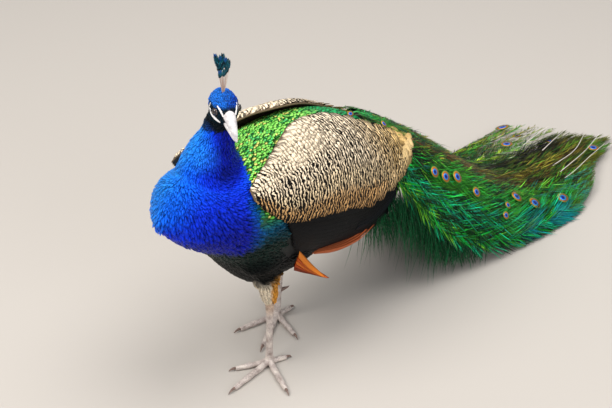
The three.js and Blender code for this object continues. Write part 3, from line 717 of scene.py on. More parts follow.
def plumage(name, metal, rough, root_shade=0.45, barbs=26.0, relief=0.25, gloss=0.15):
    """Feather vanes: painted shade at the root and a painted sheen towards the tip, with `barbs` fine barbs along
    each, drawn coarse enough to show.
    """
    material, tree, shader = finish(name, Metallic=metal, Roughness=rough, Specular_IOR_Level=gloss)
    tint = add(tree, "ShaderNodeAttribute", attribute_name="tint")
    uv = add(tree, "ShaderNodeUVMap", uv_map="vane")
    split = add(tree, "ShaderNodeSeparateXYZ", {0: uv})
    side = add(tree, "ShaderNodeMath", {0: split.outputs[0], 1: 0.5}, operation="SUBTRACT")
    aside = add(tree, "ShaderNodeMath", {0: side}, operation="ABSOLUTE")
    slant = add(tree, "ShaderNodeMath", {0: split.outputs[1], 1: aside}, operation="SUBTRACT")
    barb = add(tree, "ShaderNodeMath", {0: slant, 1: barbs * 6.28}, operation="MULTIPLY")
    wave = add(tree, "ShaderNodeMath", {0: barb}, operation="SINE")
    # Painted shade and sheen: darker at the root, where each feather lies under the one before it, and brighter
    # towards the tip
    shade = ramp(tree, split.outputs[1], [(0.0, root_shade), (0.55, 0.85), (0.9, 1.12), (1.0, 0.95)])
    deep = add(tree, "ShaderNodeMath", {0: wave, 1: 0.10, 2: 0.95}, operation="MULTIPLY_ADD")
    lit = add(tree, "ShaderNodeVectorMath", {0: tint.outputs["Color"], 1: shade}, operation="MULTIPLY")
    lined = add(tree, "ShaderNodeVectorMath", {0: lit, "Scale": deep}, operation="SCALE")
    tree.links.new(lined.outputs[0], shader.inputs["Base Color"])
    bump = add(tree, "ShaderNodeBump", {"Height": wave, "Strength": relief, "Distance": 0.0004})
    tree.links.new(bump.outputs[0], shader.inputs["Normal"])
    return material


# Regular layers in the barbules: brilliant and a little metallic, with a broad soft sheen
BLUE_PLUMAGE = plumage("iridescent blue plumage", 0.4, 0.45, 0.6)
# Melanin with a thin film over it: nearly black, with a faint green glint
DARK_PLUMAGE = plumage("blackish green plumage", 0.2, 0.5)
# Loose pigmented barbs without a film: matt and even
DOWN = plumage("buff leg plumage", 0.0, 0.85, 0.7)

# %% The skin's own finish: soft matt down, mottled like fluff, that shows only between the feathers
skin_finish, tree, shader = finish("skin and down under the plumage", Roughness=0.8)
tint = add(tree, "ShaderNodeAttribute", attribute_name="tint")
grain = add(tree, "ShaderNodeTexNoise", {"Vector": add(tree, "ShaderNodeTexCoord").outputs["Object"],
                                        "Scale": 400.0, "Detail": 4.0})
mottle = ramp(tree, grain, [(0.3, 0.6), (0.7, 1.1)])
coloured = add(tree, "ShaderNodeVectorMath", {0: tint.outputs["Color"], 1: mottle}, operation="MULTIPLY")
tree.links.new(coloured.outputs[0], shader.inputs["Base Color"])
bump = add(tree, "ShaderNodeBump", {"Height": grain, "Strength": 0.4, "Distance": 0.001})
tree.links.new(bump.outputs[0], shader.inputs["Normal"])
skin.data.materials.clear()
skin.data.materials.append(skin_finish)

# %% Unwrap the skin and mark its tracts
bpy.context.view_layer.objects.active = skin
skin.select_set(True)
bpy.ops.object.mode_set(mode="EDIT")
bpy.ops.mesh.select_all(action="SELECT")
bpy.ops.uv.smart_project(angle_limit=math.radians(66), island_margin=0.004)
bpy.ops.object.mode_set(mode="OBJECT")
skin.data.uv_layers.active.name = "OFBake"

x, y, z = places.T
behind = mantle_share(places)
under_wing = smooth(-62, -48, y) * smooth(70, 84, np.abs(x)) * (z > 190) * (y < 275)
legs_only = leg_share(places)
clear = (1 - under_wing) * (1 - legs_only)
paint(skin.data, "neck", clear * (z > 380) * (z < 486) * (1 - behind), "FLOAT")
paint(skin.data, "breast", clear * (z <= 380) * (z > 268) * (y < -40) * (1 - behind), "FLOAT")
paint(skin.data, "belly", clear * ((z <= 268) | ((z <= 330) & (y >= -40))) * (y < 240), "FLOAT")
paint(skin.data, "shin", legs_only, "FLOAT")

# %% Sow the body feathers
SMALL_PATCH = (0.003, 0.003)
COAT_INPUTS = ("Spacing", "Most_per_square_metre", "Width", "Length", "Lift", "Scruff", "Seed")
coats = {}


def sow(tract, material, *values):
    """Covers one tract of the skin; values are those of COAT_INPUTS, with lengths in metres."""
    coats[tract] = grown(f"{tract}_feathers", skin, coat_tree, Feather=NARROW, Patch=(*SMALL_PATCH, 0),
                         Material=material, Tract=tract, **dict(zip(COAT_INPUTS, values)))


sow("neck", BLUE_PLUMAGE, 0.0020, 650000.0, 0.0032, 0.0100, 0.0018, 0.10, 3)
sow("breast", BLUE_PLUMAGE, 0.0029, 300000.0, 0.0046, 0.0135, 0.0026, 0.12, 5)
sow("belly", DARK_PLUMAGE, 0.0038, 200000.0, 0.0052, 0.0115, 0.0016, 0.05, 8)
sow("shin", DOWN, 0.0022, 400000.0, 0.0030, 0.0095, 0.0018, 0.16, 9)

# %% [markdown]
# ## Feathers in rows, and long feathers
# Wing and back feathers stand in clear rows, so their roots are worked out on the surface that carries
# them and handed to the row tree. A flight feather is much longer than it is wide and bends along the
# body, so it is swept along its own path instead, like a blade, with its place on the vane map kept.

# %% Rows of roots


def rows(name, roots, lies, faces, sizes, tints, spread, feather, material, patch):
    """Feathers at given roots in mm. spread is each root's place on the flattened surface, 0 to 1."""
    base = bpy.data.meshes.new(name)
    base.from_pydata(to_model(roots).tolist(), [], [])
    paint(base, "lie", unit(lies), "FLOAT_VECTOR")
    paint(base, "face", unit(faces), "FLOAT_VECTOR")
    paint(base, "size", np.asarray(sizes) / 1000, "FLOAT_VECTOR")
    paint(base, "tint", tints)
    paint(base, "root", np.concatenate([spread, np.zeros((len(spread), 1))], 1), "FLOAT_VECTOR")
    return grown(name, base, row_tree, Feather=feather, Material=material, Patch=(*patch, 0))

# %% Swept plumes
COLUMNS = np.array((-1, -0.5, 0, 0.5, 1.0))


def plume(path, facing, half, thick=1.0, ridge=0.12):
    """A closed blade swept along a path, facing one way or a way for each point, with its vane map."""
    path, facing, half = np.asarray(path, float), unit(facing), np.asarray(half, float)
    run = unit(np.gradient(path, axis=0))
    across = unit(np.cross(run, facing))
    up = unit(np.cross(across, run))
    top = (path[:, None] + across[:, None] * (half[:, None] * COLUMNS)[..., None]
           - up[:, None] * (ridge * half[:, None] * np.abs(COLUMNS) ** 1.5)[..., None])
    under = (path - up * thick)[:, None]
    rings = np.concatenate([top, under], 1)
    points, faces = rings_shape(rings, path[0] - run[0] * 0.5, path[-1] + run[-1] * 0.5)
    t = np.linspace(0, 1, len(path))
    flat = np.stack([np.broadcast_to(np.append(0.5 + 0.5 * COLUMNS, 0.5), (len(path), 6)),
                     np.broadcast_to(t[:, None], (len(path), 6))], -1).reshape(-1, 2)
    return points, faces, np.vstack([flat, (0.5, 0), (0.5, 1)])


def plumes(name, blades, material, tints):
    """Joins swept blades; each has its own cell of the baked map and its own tint."""
    points, faces = joined([(p, f) for p, f, _ in blades])
    colours = np.concatenate([np.broadcast_to(tint, blade[0].shape) for blade, tint in zip(blades, tints)])
    made = make(name, points, faces, material, colours)
    cells = math.ceil(math.sqrt(len(blades)))
    vane_map, bake_map = [], []
    for k, (_, _, flat) in enumerate(blades):
        corner = np.array((k % cells, k // cells)) / cells
        vane_map.append(flat)
        bake_map.append(corner + (0.06 + 0.88 * flat) / cells)
    for label, table in (("vane", np.vstack(vane_map)), ("OFBake", np.vstack(bake_map))):
        layer = made.data.uv_layers.new(name=label)
        index = np.empty(len(made.data.loops), int)
        made.data.loops.foreach_get("vertex_index", index)
        layer.data.foreach_set("uv", table[index].ravel())
    made.data.uv_layers["OFBake"].active_render = True
    print(name, triangles(made), "triangles")
    return made

# %% [markdown]
# ## Folded wings
# The big pale shield of a peacock's wing is its scapulars and coverts: broad feathers, buff with wavy
# black bars about six millimetres apart, plainer towards the back and the top. Below it show the glossy
# black secondaries, and under them a strip of chestnut primaries.

# %% The sleeve that the folded wings lie on
SLEEVE_TOP = profile([(-130, 424), (-60, 436), (20, 442), (100, 428), (180, 392), (250, 350), (320, 300)])
SLEEVE_HALF_WIDTH = profile([(-130, 98), (-60, 109), (20, 114), (100, 110), (180, 97), (250, 80), (320, 56)])
SLEEVE_MIDDLE = profile([(-130, 330), (-60, 325), (20, 316), (100, 300), (180, 280), (250, 262), (320, 244)])
SLEEVE_BELOW = profile([(-130, 150), (20, 160), (180, 120), (320, 80)])
RIGHT_WING_LIFT = profile([(-110, 4), (-40, 7), (20, 14), (200, 14)])
RIGHT_WING_SPREAD = profile([(-110, 14), (-40, 8), (40, 4)])
RIGHT_WING_LEAD = 18
SHIELD_UPPER = profile([(-110, 50), (-88, 41), (-58, 33), (-16, 22), (32, 11), (70, 8), (122, 11), (170, 18),
                        (212, 27), (266, 36), (288, 48)])
SHIELD_LOWER = profile([(-110, 56), (-94, 70), (-76, 82), (-46, 92), (60, 96), (146, 99), (206, 90), (240, 80),
                        (266, 70), (288, 54)])
FLIGHT_LOWER = profile([(-60, 101), (-42, 108), (-16, 121), (20, 135), (60, 142), (140, 143), (200, 140),
                        (236, 130), (262, 110), (285, 92)])
SIDES = {"left": 1, "right": -1}


def sleeve(y, degrees, side, inward=0.0):
    """A point of the surface that the folded wings lie on; degrees run from the back down the flank."""
    y, angle = np.broadcast_arrays(np.asarray(y, float), np.radians(degrees))
    rise = np.cos(angle)
    right = side < 0
    reach = np.where(rise > 0, SLEEVE_TOP(y) + right * RIGHT_WING_LIFT(y) - SLEEVE_MIDDLE(y),
                     SLEEVE_MIDDLE(y) - SLEEVE_BELOW(y))
    x = side * (SLEEVE_HALF_WIDTH(y) + right * RIGHT_WING_SPREAD(y) - inward) * np.sin(angle)
    return np.stack([x, y - right * RIGHT_WING_LEAD, SLEEVE_MIDDLE(y) + (reach - inward) * rise], -1)


def sleeve_frame(y, degrees, side, inward=0.0):
    """The sleeve's point, its way back along the wing, its way down round it, and its outward face."""
    here = sleeve(y, degrees, side, inward)
    back = unit(sleeve(np.asarray(y) + 2, degrees, side, inward) - here)
    down = unit(sleeve(y, np.asarray(degrees) + 2, side, inward) - here)
    face = unit(np.cross(back, down)) * -side
    return here, back, down, face


def sheet(surface, count_u, count_v, thick):
    """A thin closed sheet: surface(u, v) gives points and outward faces; it is `thick` mm deep."""
    u, v = np.meshgrid(np.linspace(0, 1, count_u), np.linspace(0, 1, count_v), indexing="ij")
    here, face = surface(u, v)
    rings = np.concatenate([here, (here - face * thick)[:, ::-1]], 1)
    return rings_shape(rings)

# %% Finishes of the wing feathers


def barred(name):
    """Buff pigment crossed by wavy black bars: matt, with bars whose phase and strength each point carries."""
    material, tree, shader = finish(name, Roughness=0.75, Specular_IOR_Level=0.15)
    coordinates = add(tree, "ShaderNodeTexCoord").outputs["Object"]
    tint = add(tree, "ShaderNodeAttribute", attribute_name="tint")
    bars = add(tree, "ShaderNodeAttribute", attribute_name="bars")
    phase = add(tree, "ShaderNodeSeparateXYZ", {0: bars.outputs["Vector"]})
    warp = add(tree, "ShaderNodeTexNoise", {"Vector": coordinates, "Scale": 62.0, "Detail": 2.0})
    fine = add(tree, "ShaderNodeTexNoise", {"Vector": coordinates, "Scale": 230.0, "Detail": 2.0})
    pushed = add(tree, "ShaderNodeMath", {0: warp, 1: 17.0, 2: phase.outputs[0]}, operation="MULTIPLY_ADD")
    also = add(tree, "ShaderNodeMath", {0: fine, 1: 5.0, 2: pushed}, operation="MULTIPLY_ADD")
    started = add(tree, "ShaderNodeMath", {0: also, 1: phase.outputs[1]}, operation="ADD")
    wave = add(tree, "ShaderNodeMath", {0: started}, operation="SINE")
    width = add(tree, "ShaderNodeMath", {0: wave, 1: phase.outputs[2]}, operation="ADD")
    crossed = ramp(tree, width, [(0.34, 0.0), (0.60, 1.0)])
    contrast = ramp(tree, phase.outputs[2], [(0.0, 0.45), (0.32, 1.0)])
    dark = add(tree, "ShaderNodeMath", {0: crossed, 1: contrast}, operation="MULTIPLY")
    streak = add(tree, "ShaderNodeTexNoise", {"Vector": coordinates, "Scale": 700.0, "Detail": 2.0})
    tone = ramp(tree, streak, [(0.25, 0.82), (0.75, 1.1)])
    buff = add(tree, "ShaderNodeVectorMath", {0: tint.outputs["Color"], 1: tone}, operation="MULTIPLY")
    ink = add(tree, "ShaderNodeMix", {"Factor": dark, "A": buff.outputs[0], "B": rgba("0d0906")},
              data_type="RGBA")
    tree.links.new(ink.outputs[2], shader.inputs["Base Color"])
    relief = add(tree, "ShaderNodeBump", {"Height": fine, "Strength": 0.35, "Distance": 0.0006})
    tree.links.new(relief.outputs[0], shader.inputs["Normal"])
    return material


BARRED = barred("barred buff plumage")
# Stiff, tightly zipped black vanes: smooth, so they catch a narrow sheen; the chestnut ones are duller
BLACK_FLIGHT = plumage("glossy black flight feathers", 0.0, 0.42, 0.8, 40.0, 0.35, 0.05)
CHESTNUT = plumage("chestnut flight feathers", 0.0, 0.6, 0.8, 40.0, 0.3, 0.2)

# %% Roots of the shield's feathers
COVERT_SIZE = profile([(-110, 8), (-40, 11), (60, 16), (160, 25), (262, 37)])
ROW_STEP = 0.62  # of a feather's size, from row to row and from feather to feather
SCALLOPS = (112, 142, 172, 200, 224, 244)  # where the broad feathers of the lower edge begin
SCALLOP_SIZE = 31
BAR_SPACING = 6.2


def shield_rows(side):
    """Roots of the barred feathers, row by row from the wing's front to its back."""
    ys, degrees, big, spread = [], [], [], []
    y, row = -104.0, 0
    while y < 262:
        size = float(COVERT_SIZE(y))
        upper, lower = float(SHIELD_UPPER(y + 0.5 * size)), float(SHIELD_LOWER(y + 0.5 * size))
        reach = np.linalg.norm(sleeve(y, lower, side) - sleeve(y, upper, side)) * 1.12
        count = max(2, int(reach / (ROW_STEP * size)))
        for k in range(count + 1):
            v = (k + 0.5 * (row % 2)) / (count + 0.5)
            ys.append(y + RNG.normal(0, 0.06 * size))
            degrees.append(upper + (lower - upper) * (0.03 + 0.93 * v) + RNG.normal(0, 0.4))
            big.append(size * RNG.uniform(0.92, 1.1))
            spread.append(((y + 110) / 400, v * 0.94))
        y += ROW_STEP * size
        row += 1
    for y in SCALLOPS:
        ys.append(y)
        degrees.append(float(SHIELD_LOWER(y + 20)) - 6.5)
        big.append(SCALLOP_SIZE)
        spread.append(((y + 110) / 400, 0.97))
    return np.array(ys), np.array(degrees), np.array(big), np.array(spread)

# %% The shield and the sheet that closes it beneath


def coverts(name, side):
    """One wing's barred shield; each point carries its bars' distance, start and strength."""
    ys, degrees, big, spread = shield_rows(side)
    here, back, down, face = sleeve_frame(ys, degrees, side, np.where(big == SCALLOP_SIZE, 4.6, 5.5))
    low_share = smooth(0.15, 0.95, (degrees - SHIELD_UPPER(ys)) / (SHIELD_LOWER(ys) - SHIELD_UPPER(ys)))
    lie = back + down * (0.42 - 0.30 * low_share - 0.35 * smooth(150, 260, ys))[:, None]
    pale = layered(
        linear("fbe6c6"), ("f4ca80", smooth(90, 240, ys)), ("e0c390", 0.6 * smooth(0.3, 0.8, low_share)),
        ("c08a48", 0.8 * smooth(0.8, 1.0, low_share) * (1 - smooth(120, 200, ys))))
    pale = pale * RNG.uniform(0.88, 1.08, (len(ys), 1))
    strength = 0.50 + 0.22 * low_share * (1 - smooth(120, 240, ys)) + 0.22 * (1 - smooth(-60, 10, ys))
    strength -= 0.5 * (1 - smooth(0.02, 0.3, low_share)) * (1 - smooth(20, 90, ys))
    strength -= 1.4 * smooth(205, 250, ys) - RNG.normal(0, 0.1, len(ys))
    sizes = np.stack([big * 1.18, big * 1.75, 4.2 + 0.06 * big], 1)
    made = rows(name, here, lie, face, sizes, pale, spread, COVERT, BARRED, (0.018, 0.03))
    shoulder = sleeve(-60.0, 60.0, side) - (0, 150, 0)
    away = np.linalg.norm(points_of(made.data) - shoulder, axis=1)
    luck = np.stack([RNG.normal(0, 0.9, len(ys)), strength], 1)
    luck = np.repeat(luck, len(made.data.vertices) // len(ys), axis=0)
    paint(made.data, "bars", np.concatenate([2 * np.pi * away[:, None] / BAR_SPACING, luck], 1), "FLOAT_VECTOR")
    return made


def wing_bed(name, side):
    """A thin brown sheet under the shield."""
    def surface(u, v):
        y = -106 + 388 * u
        degrees = SHIELD_UPPER(y) + (SHIELD_LOWER(y) - SHIELD_UPPER(y)) * v
        here, _, _, face = sleeve_frame(y, degrees, side, 5.2)
        return here, face

    points, faces = sheet(surface, 60, 16, 2.6)
    return make(name, points, faces, skin_finish, np.tile(linear("6d5a40"), (len(points), 1)))

# %% Black secondaries
SECONDARY_WIDTH = profile([(0, 6), (0.2, 10.5), (0.75, 12.5), (0.93, 9), (1, 2.5)])
TERTIAL_WIDTH = profile([(0, 6), (0.3, 10), (0.85, 10), (1, 3)])


def secondaries(name, side):
    """Eleven feathers fanned below the shield, and five long ones that run on behind it."""
    blades, tints = [], []
    t = np.linspace(0, 1, 22)
    for k in range(11):
        v = k / 10
        y = np.linspace(-58 + 26 * v, 283 - 70 * v**1.6, 22)
        upper, lower = SHIELD_LOWER(y) - 6, FLIGHT_LOWER(y)
        degrees = upper + (lower - upper) * (0.1 + 0.84 * v)
        here, _, _, face = sleeve_frame(y, degrees, side, 9.4 - 0.28 * (10 - k))
        blades.append(plume(here, face, SECONDARY_WIDTH(t), 1.6, 0.10))
        tints.append(linear("07080c") * RNG.uniform(0.5, 1.4))
    for k in range(5):
        y = np.linspace(130, 281 - 8 * k, 22)
        here, _, _, face = sleeve_frame(y, SHIELD_LOWER(y) + 4 + 5 * k, side, 7.6)
        blades.append(plume(here, face, TERTIAL_WIDTH(t), 1.4, 0.10))
        tints.append(linear("0a0c12") * RNG.uniform(0.6, 1.6))
    return plumes(name, blades, BLACK_FLIGHT, tints)

# %% Chestnut primaries and the tip that hangs below the wing
PRIMARY_LINE = np.array([(66, 44, 186), (66, 60, 180), (66, 89, 169), (66, 119, 162), (66, 144, 160),
                         (66, 162, 161), (65, 182, 167), (64, 204, 175)], float)
PRIMARY_WIDTH = profile([(0, 2.5), (0.25, 5.5), (0.7, 6.0), (0.9, 4.2), (1, 1)])
TIP_POINT = np.array((67.0, 80, 122))
TIP_WIDTH = profile([(0, 6.0), (0.35, 6.5), (0.8, 3.6), (1, 0.5)])
TIP_COLOURS = ("f58a28", "d85a18", "f07c24", "c24a10", "8a300a")


def primaries(name, side):
    """Five narrow feathers, one above the other, under the secondaries."""
    blades, tints = [], []
    edge = PRIMARY_LINE * (side, 1, 1) - (0, RIGHT_WING_LEAD * (side < 0), 0)
    for k in range(5):
        line, _ = along_line(edge + (-side * 0.9 * k, -5 * k, 6.5 + 3.4 * k), 24)
        half = PRIMARY_WIDTH(np.linspace(0, 1, 24))
        blades.append(plume(line, (side * 0.86, 0.05, -0.5 + 0.2 * k), half, 1.1, 0.10))
        tints.append(mix(linear("c8683a"), linear("8a4426"), k / 5))
    return plumes(name, blades, CHESTNUT, tints)


def hanging_tip(name, side):
    """Five orange feathers that come together in a point below the wing."""
    blades, tints = [], []
    for k, colour in enumerate(TIP_COLOURS):
        base = np.array((92.0 - 0.6 * k, -20 - 1.6 * k, 237 - 6.2 * k))
        end = TIP_POINT + (0, -3.5 * (4 - k) * 0.9, 2.2 * (4 - k))
        middle = (base + end) / 2 + (-3, 0, -3 + 1.2 * k)
        path = np.array([base, middle, end]) * (side, 1, 1) - (0, RIGHT_WING_LEAD * (side < 0), 0)
        line = along_line(path, 18)[0] + (side * 0.7 * (2 - k), 0, 0)
        blades.append(plume(line, (side * 0.9, 0.3, 0.3), TIP_WIDTH(np.linspace(0, 1, 18)), 0.8, 0.08))
        tints.append(linear(colour))
    return plumes(name, blades, CHESTNUT, tints)

# %% Both wings
WING_PARTS = {"coverts": coverts, "bed": wing_bed, "secondaries_vanes": secondaries,
              "primaries_vanes": primaries, "tip_vanes": hanging_tip}
wing_pieces = {}
for label, side in SIDES.items():
    for part, draw in WING_PARTS.items():
        wing_pieces[f"wing_{label}_{part}"] = draw(f"wing_{label}_{part}", side)

# %% [markdown]
# ## The mantle's scale feathers
# Behind the neck, between the wings, lie small round feathers like fish scales: green with a gold centre
# and a dark, bronzed rim. They stand in staggered rows.

# %% Landing points on the skin
skin_tree = BVHTree.FromPolygons([v.co for v in skin.data.vertices], [p.vertices for p in skin.data.polygons])


def on_skin(points, way=None):
    """Where points meet the skin, going one way or to its nearest place, and how it faces there."""
    landed, faces = [], []
    for point in to_model(points):
        hit = None
        if way is not None:
            hit, face, _, _ = skin_tree.ray_cast(Vector(point - np.array(way) * 0.5), Vector(way))
        if hit is None:
            hit, face, _, _ = skin_tree.find_nearest(Vector(point))
        landed.append(np.array(hit) * 1000 - ORIGIN)
        faces.append(np.array(face))
    return np.array(landed), unit(np.array(faces))

# %% The scale feathers' finish


def scaled(name):
    """Iridescent scale feathers: a gold-green, half metallic middle in a dark bronzed rim."""
    material, tree, shader = finish(name, Metallic=0.3, Roughness=0.45, Specular_IOR_Level=0.2)
    tint = add(tree, "ShaderNodeAttribute", attribute_name="tint")
    uv = add(tree, "ShaderNodeUVMap", uv_map="vane")
    centre = add(tree, "ShaderNodeVectorMath", {0: uv, 1: (0.5, 0.52, 0)}, operation="SUBTRACT")
    reach = add(tree, "ShaderNodeVectorMath", {0: centre, 1: (1.15, 1.0, 0)}, operation="MULTIPLY")
    away = add(tree, "ShaderNodeVectorMath", {0: reach}, operation="LENGTH")
    rim = ramp(tree, away.outputs["Value"], [(0.0, 1.2), (0.34, 1.0), (0.45, 0.45), (0.53, 0.08)])
    lit = add(tree, "ShaderNodeVectorMath", {0: tint.outputs["Color"], 1: rim}, operation="MULTIPLY")
    tree.links.new(lit.outputs[0], shader.inputs["Base Color"])
    grain = add(tree, "ShaderNodeTexNoise", {"Vector": add(tree, "ShaderNodeTexCoord").outputs["Object"],
                                            "Scale": 900.0})
    bump = add(tree, "ShaderNodeBump", {"Height": grain, "Strength": 0.3, "Distance": 0.0004})
    tree.links.new(bump.outputs[0], shader.inputs["Normal"])
    return material


SCALED = scaled("scaled green and gold plumage")

# %% Mantle rows
MANTLE_HALF_WIDTH = profile([(-96, 100), (-60, 80), (0, 62), (60, 40), (205, 34)])
MANTLE_STEP = profile([(-96, 4.7), (60, 6.2), (205, 8.5)])
roots, spread, wide = [], [], []
y, row = -98.0, 0
while y < 205:
    half, step = float(MANTLE_HALF_WIDTH(y)), float(MANTLE_STEP(y))
    for k in range(-int(half / step) - 1, int(half / step) + 2):
        roots.append(((k + 0.5 * (row % 2) + RNG.normal(0, 0.16)) * step, y + RNG.normal(0, 0.2) * step, 420))
        spread.append((0.5 + k * 0.018, y / 320 + 0.32))
        wide.append(step * RNG.uniform(1.1, 1.5))
    y += 0.72 * step
    row += 1
roots, spread, wide = np.array(roots, float), np.array(spread), np.array(wide)
landed, faces = on_skin(roots, np.array((0, 0, -1.0)))
behind = mantle_share(landed) > 0.35 + 0.3 * RNG.uniform(-1, 1, len(landed))
keep = behind & (landed[:, 2] > 300) & (landed[:, 2] < 450)
landed, faces, spread, wide = landed[keep], faces[keep], spread[keep], wide[keep]
x, y, z = landed.T
luck = RNG.uniform(0, 1, len(landed))
tints = layered(linear("44b038"), ("a8f070", luck), ("e0d070", 0.85 * (luck > 0.9)),
                ("0b5c2a", 0.8 * (luck < 0.16)), ("22c070", 0.6 * ((luck > 0.4) & (luck < 0.5))))
tints = mix(tints, mix(linear("0c6a36"), linear("18b060"), luck), smooth(60, 120, y + 0.2 * np.abs(x)))
lies = np.tile((0, 1.0, -0.1), (len(x), 1)) + RNG.normal(0, 0.14, (len(x), 3))
lies -= faces * np.sum(lies * faces, axis=1, keepdims=True)
sizes = np.stack([wide, wide * 1.6, 3.6 + 0 * wide], 1)
coats["mantle"] = rows("mantle_feathers", landed, lies, faces, sizes, tints, spread, SCALE, SCALED,
                       (0.014, 0.014))

# %% [markdown]
# ## The train
# The train is not the tail: it is up to two hundred very long back feathers that lie over the real,
# brown tail and trail on the ground. Each is a bare shaft with loose hair-like barbs on both sides and,
# on most, an eye near the tip. Paths for the shafts follow the surface of the train; barbs are laid along
# both sides of every shaft by the row tree, as many thousand thin bent blades.

# %% The train's surface
TRAIN_TOP = profile([(196, 390), (240, 364), (300, 322), (350, 284), (420, 226), (500, 156), (580, 96),
                     (650, 60), (760, 38), (860, 27), (940, 17), (1000, 9)])
TRAIN_EDGE = profile([(196, 322), (240, 246), (300, 150), (350, 92), (420, 46), (500, 20), (580, 12),
                      (650, 9), (860, 7), (1000, 5)])
TRAIN_HALF_WIDTH = profile([(196, 46), (240, 74), (300, 104), (350, 118), (420, 134), (500, 149), (580, 156),
                            (650, 160), (760, 160), (860, 156), (1000, 154)])
TRAIN_SWAY = profile([(196, 0), (400, 0), (600, -4), (860, -9)])
TRAIN_END = profile([(-168, 862), (-112, 908), (-60, 926), (-10, 952), (42, 990), (88, 862), (128, 796),
                     (150, 730)])
TRAIN_WRAP = 76  # degrees round the train from its ridge to either edge


def train(y, share, depth=0.0):
    """A point on the train, `depth` mm under its surface; share runs from -1, its right edge, to 1."""
    y, share, depth = np.broadcast_arrays(*(np.asarray(value, float) for value in (y, share, depth)))
    angle = np.radians(TRAIN_WRAP * share)
    low = math.cos(math.radians(TRAIN_WRAP))
    rise = (np.cos(angle) - low) / (1 - low)
    x = TRAIN_SWAY(y) + (TRAIN_HALF_WIDTH(y) - depth) * np.sin(angle) / math.sin(math.radians(TRAIN_WRAP))
    z = TRAIN_EDGE(y) + (TRAIN_TOP(y) - depth - TRAIN_EDGE(y)) * rise
    return np.stack([x, y, np.maximum(z, 2.0)], -1)


def train_frame(y, share, depth=0.0):
    """The train's point, its way back along the train, and its outward face."""
    here = train(y, share, depth)
    back = unit(train(np.asarray(y) + 2, share, depth) - here)
    left = unit(train(y, np.asarray(share) + 0.01, depth) - here)
    return here, back, unit(np.cross(left, -back))

# %% Kinds of long feather
# Each kind of long feather: how many, where its root and tip lie round the train and along it, the length and
# the slant of its barbs, and the colours that the light picks out on it
TRAIN_KINDS = {
    "ridge": (34, (-0.30, 0.42), (-0.45, 0.35), (182, 235), (330, 470), (26, 34),
              ("0c9048", "20a858", "06502c", "044020")),
    "bronze": (70, (-0.02, 0.44), (-0.12, 0.50), (215, 330), (560, 960), (60, 11),
               ("5c4c16", "8c8028", "0e0c04", "a89c38", "2c5c14", "74481a", "0a0a04", "5c8c20", "3c2a0c")),
    "near": (96, (0.34, 0.98), (0.42, 0.95), (190, 330), (430, 960), (54, 21),
             ("08b43a", "022c0e", "30dc5c", "06b47c", "011206", "0a8c2a", "70c430", "020602", "08a494")),
    "far": (52, (-0.98, -0.05), (-0.97, -0.08), (200, 330), (600, 960), (34, 24),
            ("5cc81c", "0c5410", "b0d02c", "052008", "c4a830", "16a43c", "0a7a20")),
}

# %% Paths of the long feathers
long_feathers = []
for kind, (count, roots_at, tips_at, starts, ends, barb, colours) in TRAIN_KINDS.items():
    for k in range(count):
        layer = RNG.uniform(0, 1)
        place = (k + RNG.uniform(0.1, 0.9)) / count
        start_share = roots_at[0] + (roots_at[1] - roots_at[0]) * place
        end_share = tips_at[0] + (tips_at[1] - tips_at[0]) * place + RNG.normal(0, 0.04)
        end_share = float(np.clip(end_share, -0.97, 0.94))
        start = RNG.uniform(*starts)
        x_end = 156 * math.sin(math.radians(TRAIN_WRAP * end_share)) / math.sin(math.radians(TRAIN_WRAP)) - 6
        limit = float(TRAIN_END(x_end)) - RNG.uniform(6, 30)
        end = min(ends[0] + (ends[1] - ends[0]) * RNG.uniform(0, 1) ** 0.6, limit)
        if k % 3 == 0 and kind != "ridge":
            end = limit
        t = np.linspace(0, 1, 20)
        y = start + (end - start) * t
        wander = 0.025 * np.sin(3 * t + k) * t
        share = np.clip(start_share + (end_share - start_share) * t**1.3 + wander, -1, 1)
        depth = (1.5 + 11 * layer) * (1 - 0.55 * t) * smooth(170, 330, y)
        path = train(y, share, depth)
        _, _, face = train_frame(y, share, depth)
        # Painted shade: the deeper a feather lies in the train, the darker its tint
        tint = linear(colours[RNG.integers(len(colours))]) * (1.25 - 0.75 * layer) * RNG.uniform(0.8, 1.25)
        long_feathers.append({"path": path, "face": face, "y": y, "share": share, "t": t, "layer": layer,
                              "kind": kind, "barb": barb, "tint": tint, "full": end == limit})
print(len(long_feathers), "train feathers")

# %% The shape and finish of one barb


def strand(name, steps, bend):
    """A thin blade, bent sideways by `bend` of its length."""
    return vane(name, [(0, 0.75), (0.5, 1.0), (1, 0.15)], [(0, 0.2), (0.5, 1), (1, 0.35)], steps, 0.45, bend)


BARB_LEFT = strand("barb bent to the left", 3, -0.24)
BARB_RIGHT = strand("barb bent to the right", 3, 0.24)
# Loose iridescent barbs: a soft metallic gleam that breaks up from barb to barb
TRAIN_PLUMAGE = plumage("loose train barbs", 0.25, 0.42, 0.6, 6.0, 0.15, 0.25)

# Eyes whose places are known: how far along the train, how far round it, and their width
KNOWN_EYES = [(180, 0.23, 12), (246, 0.31, 14), (333, 0.56, 23), (361, 0.55, 24), (397, 0.5, 26),
              (438, 0.57, 22), (568, 0.51, 28), (609, 0.6, 29), (691, 0.66, 27), (770, -0.34, 28),
              (905, 0.26, 27), (846, -0.78, 30), (500, 0.72, 17), (520, 0.62, 16)]
eye_points = train(*np.array(KNOWN_EYES).T[:2])

# %% Lay barbs along both sides of every shaft


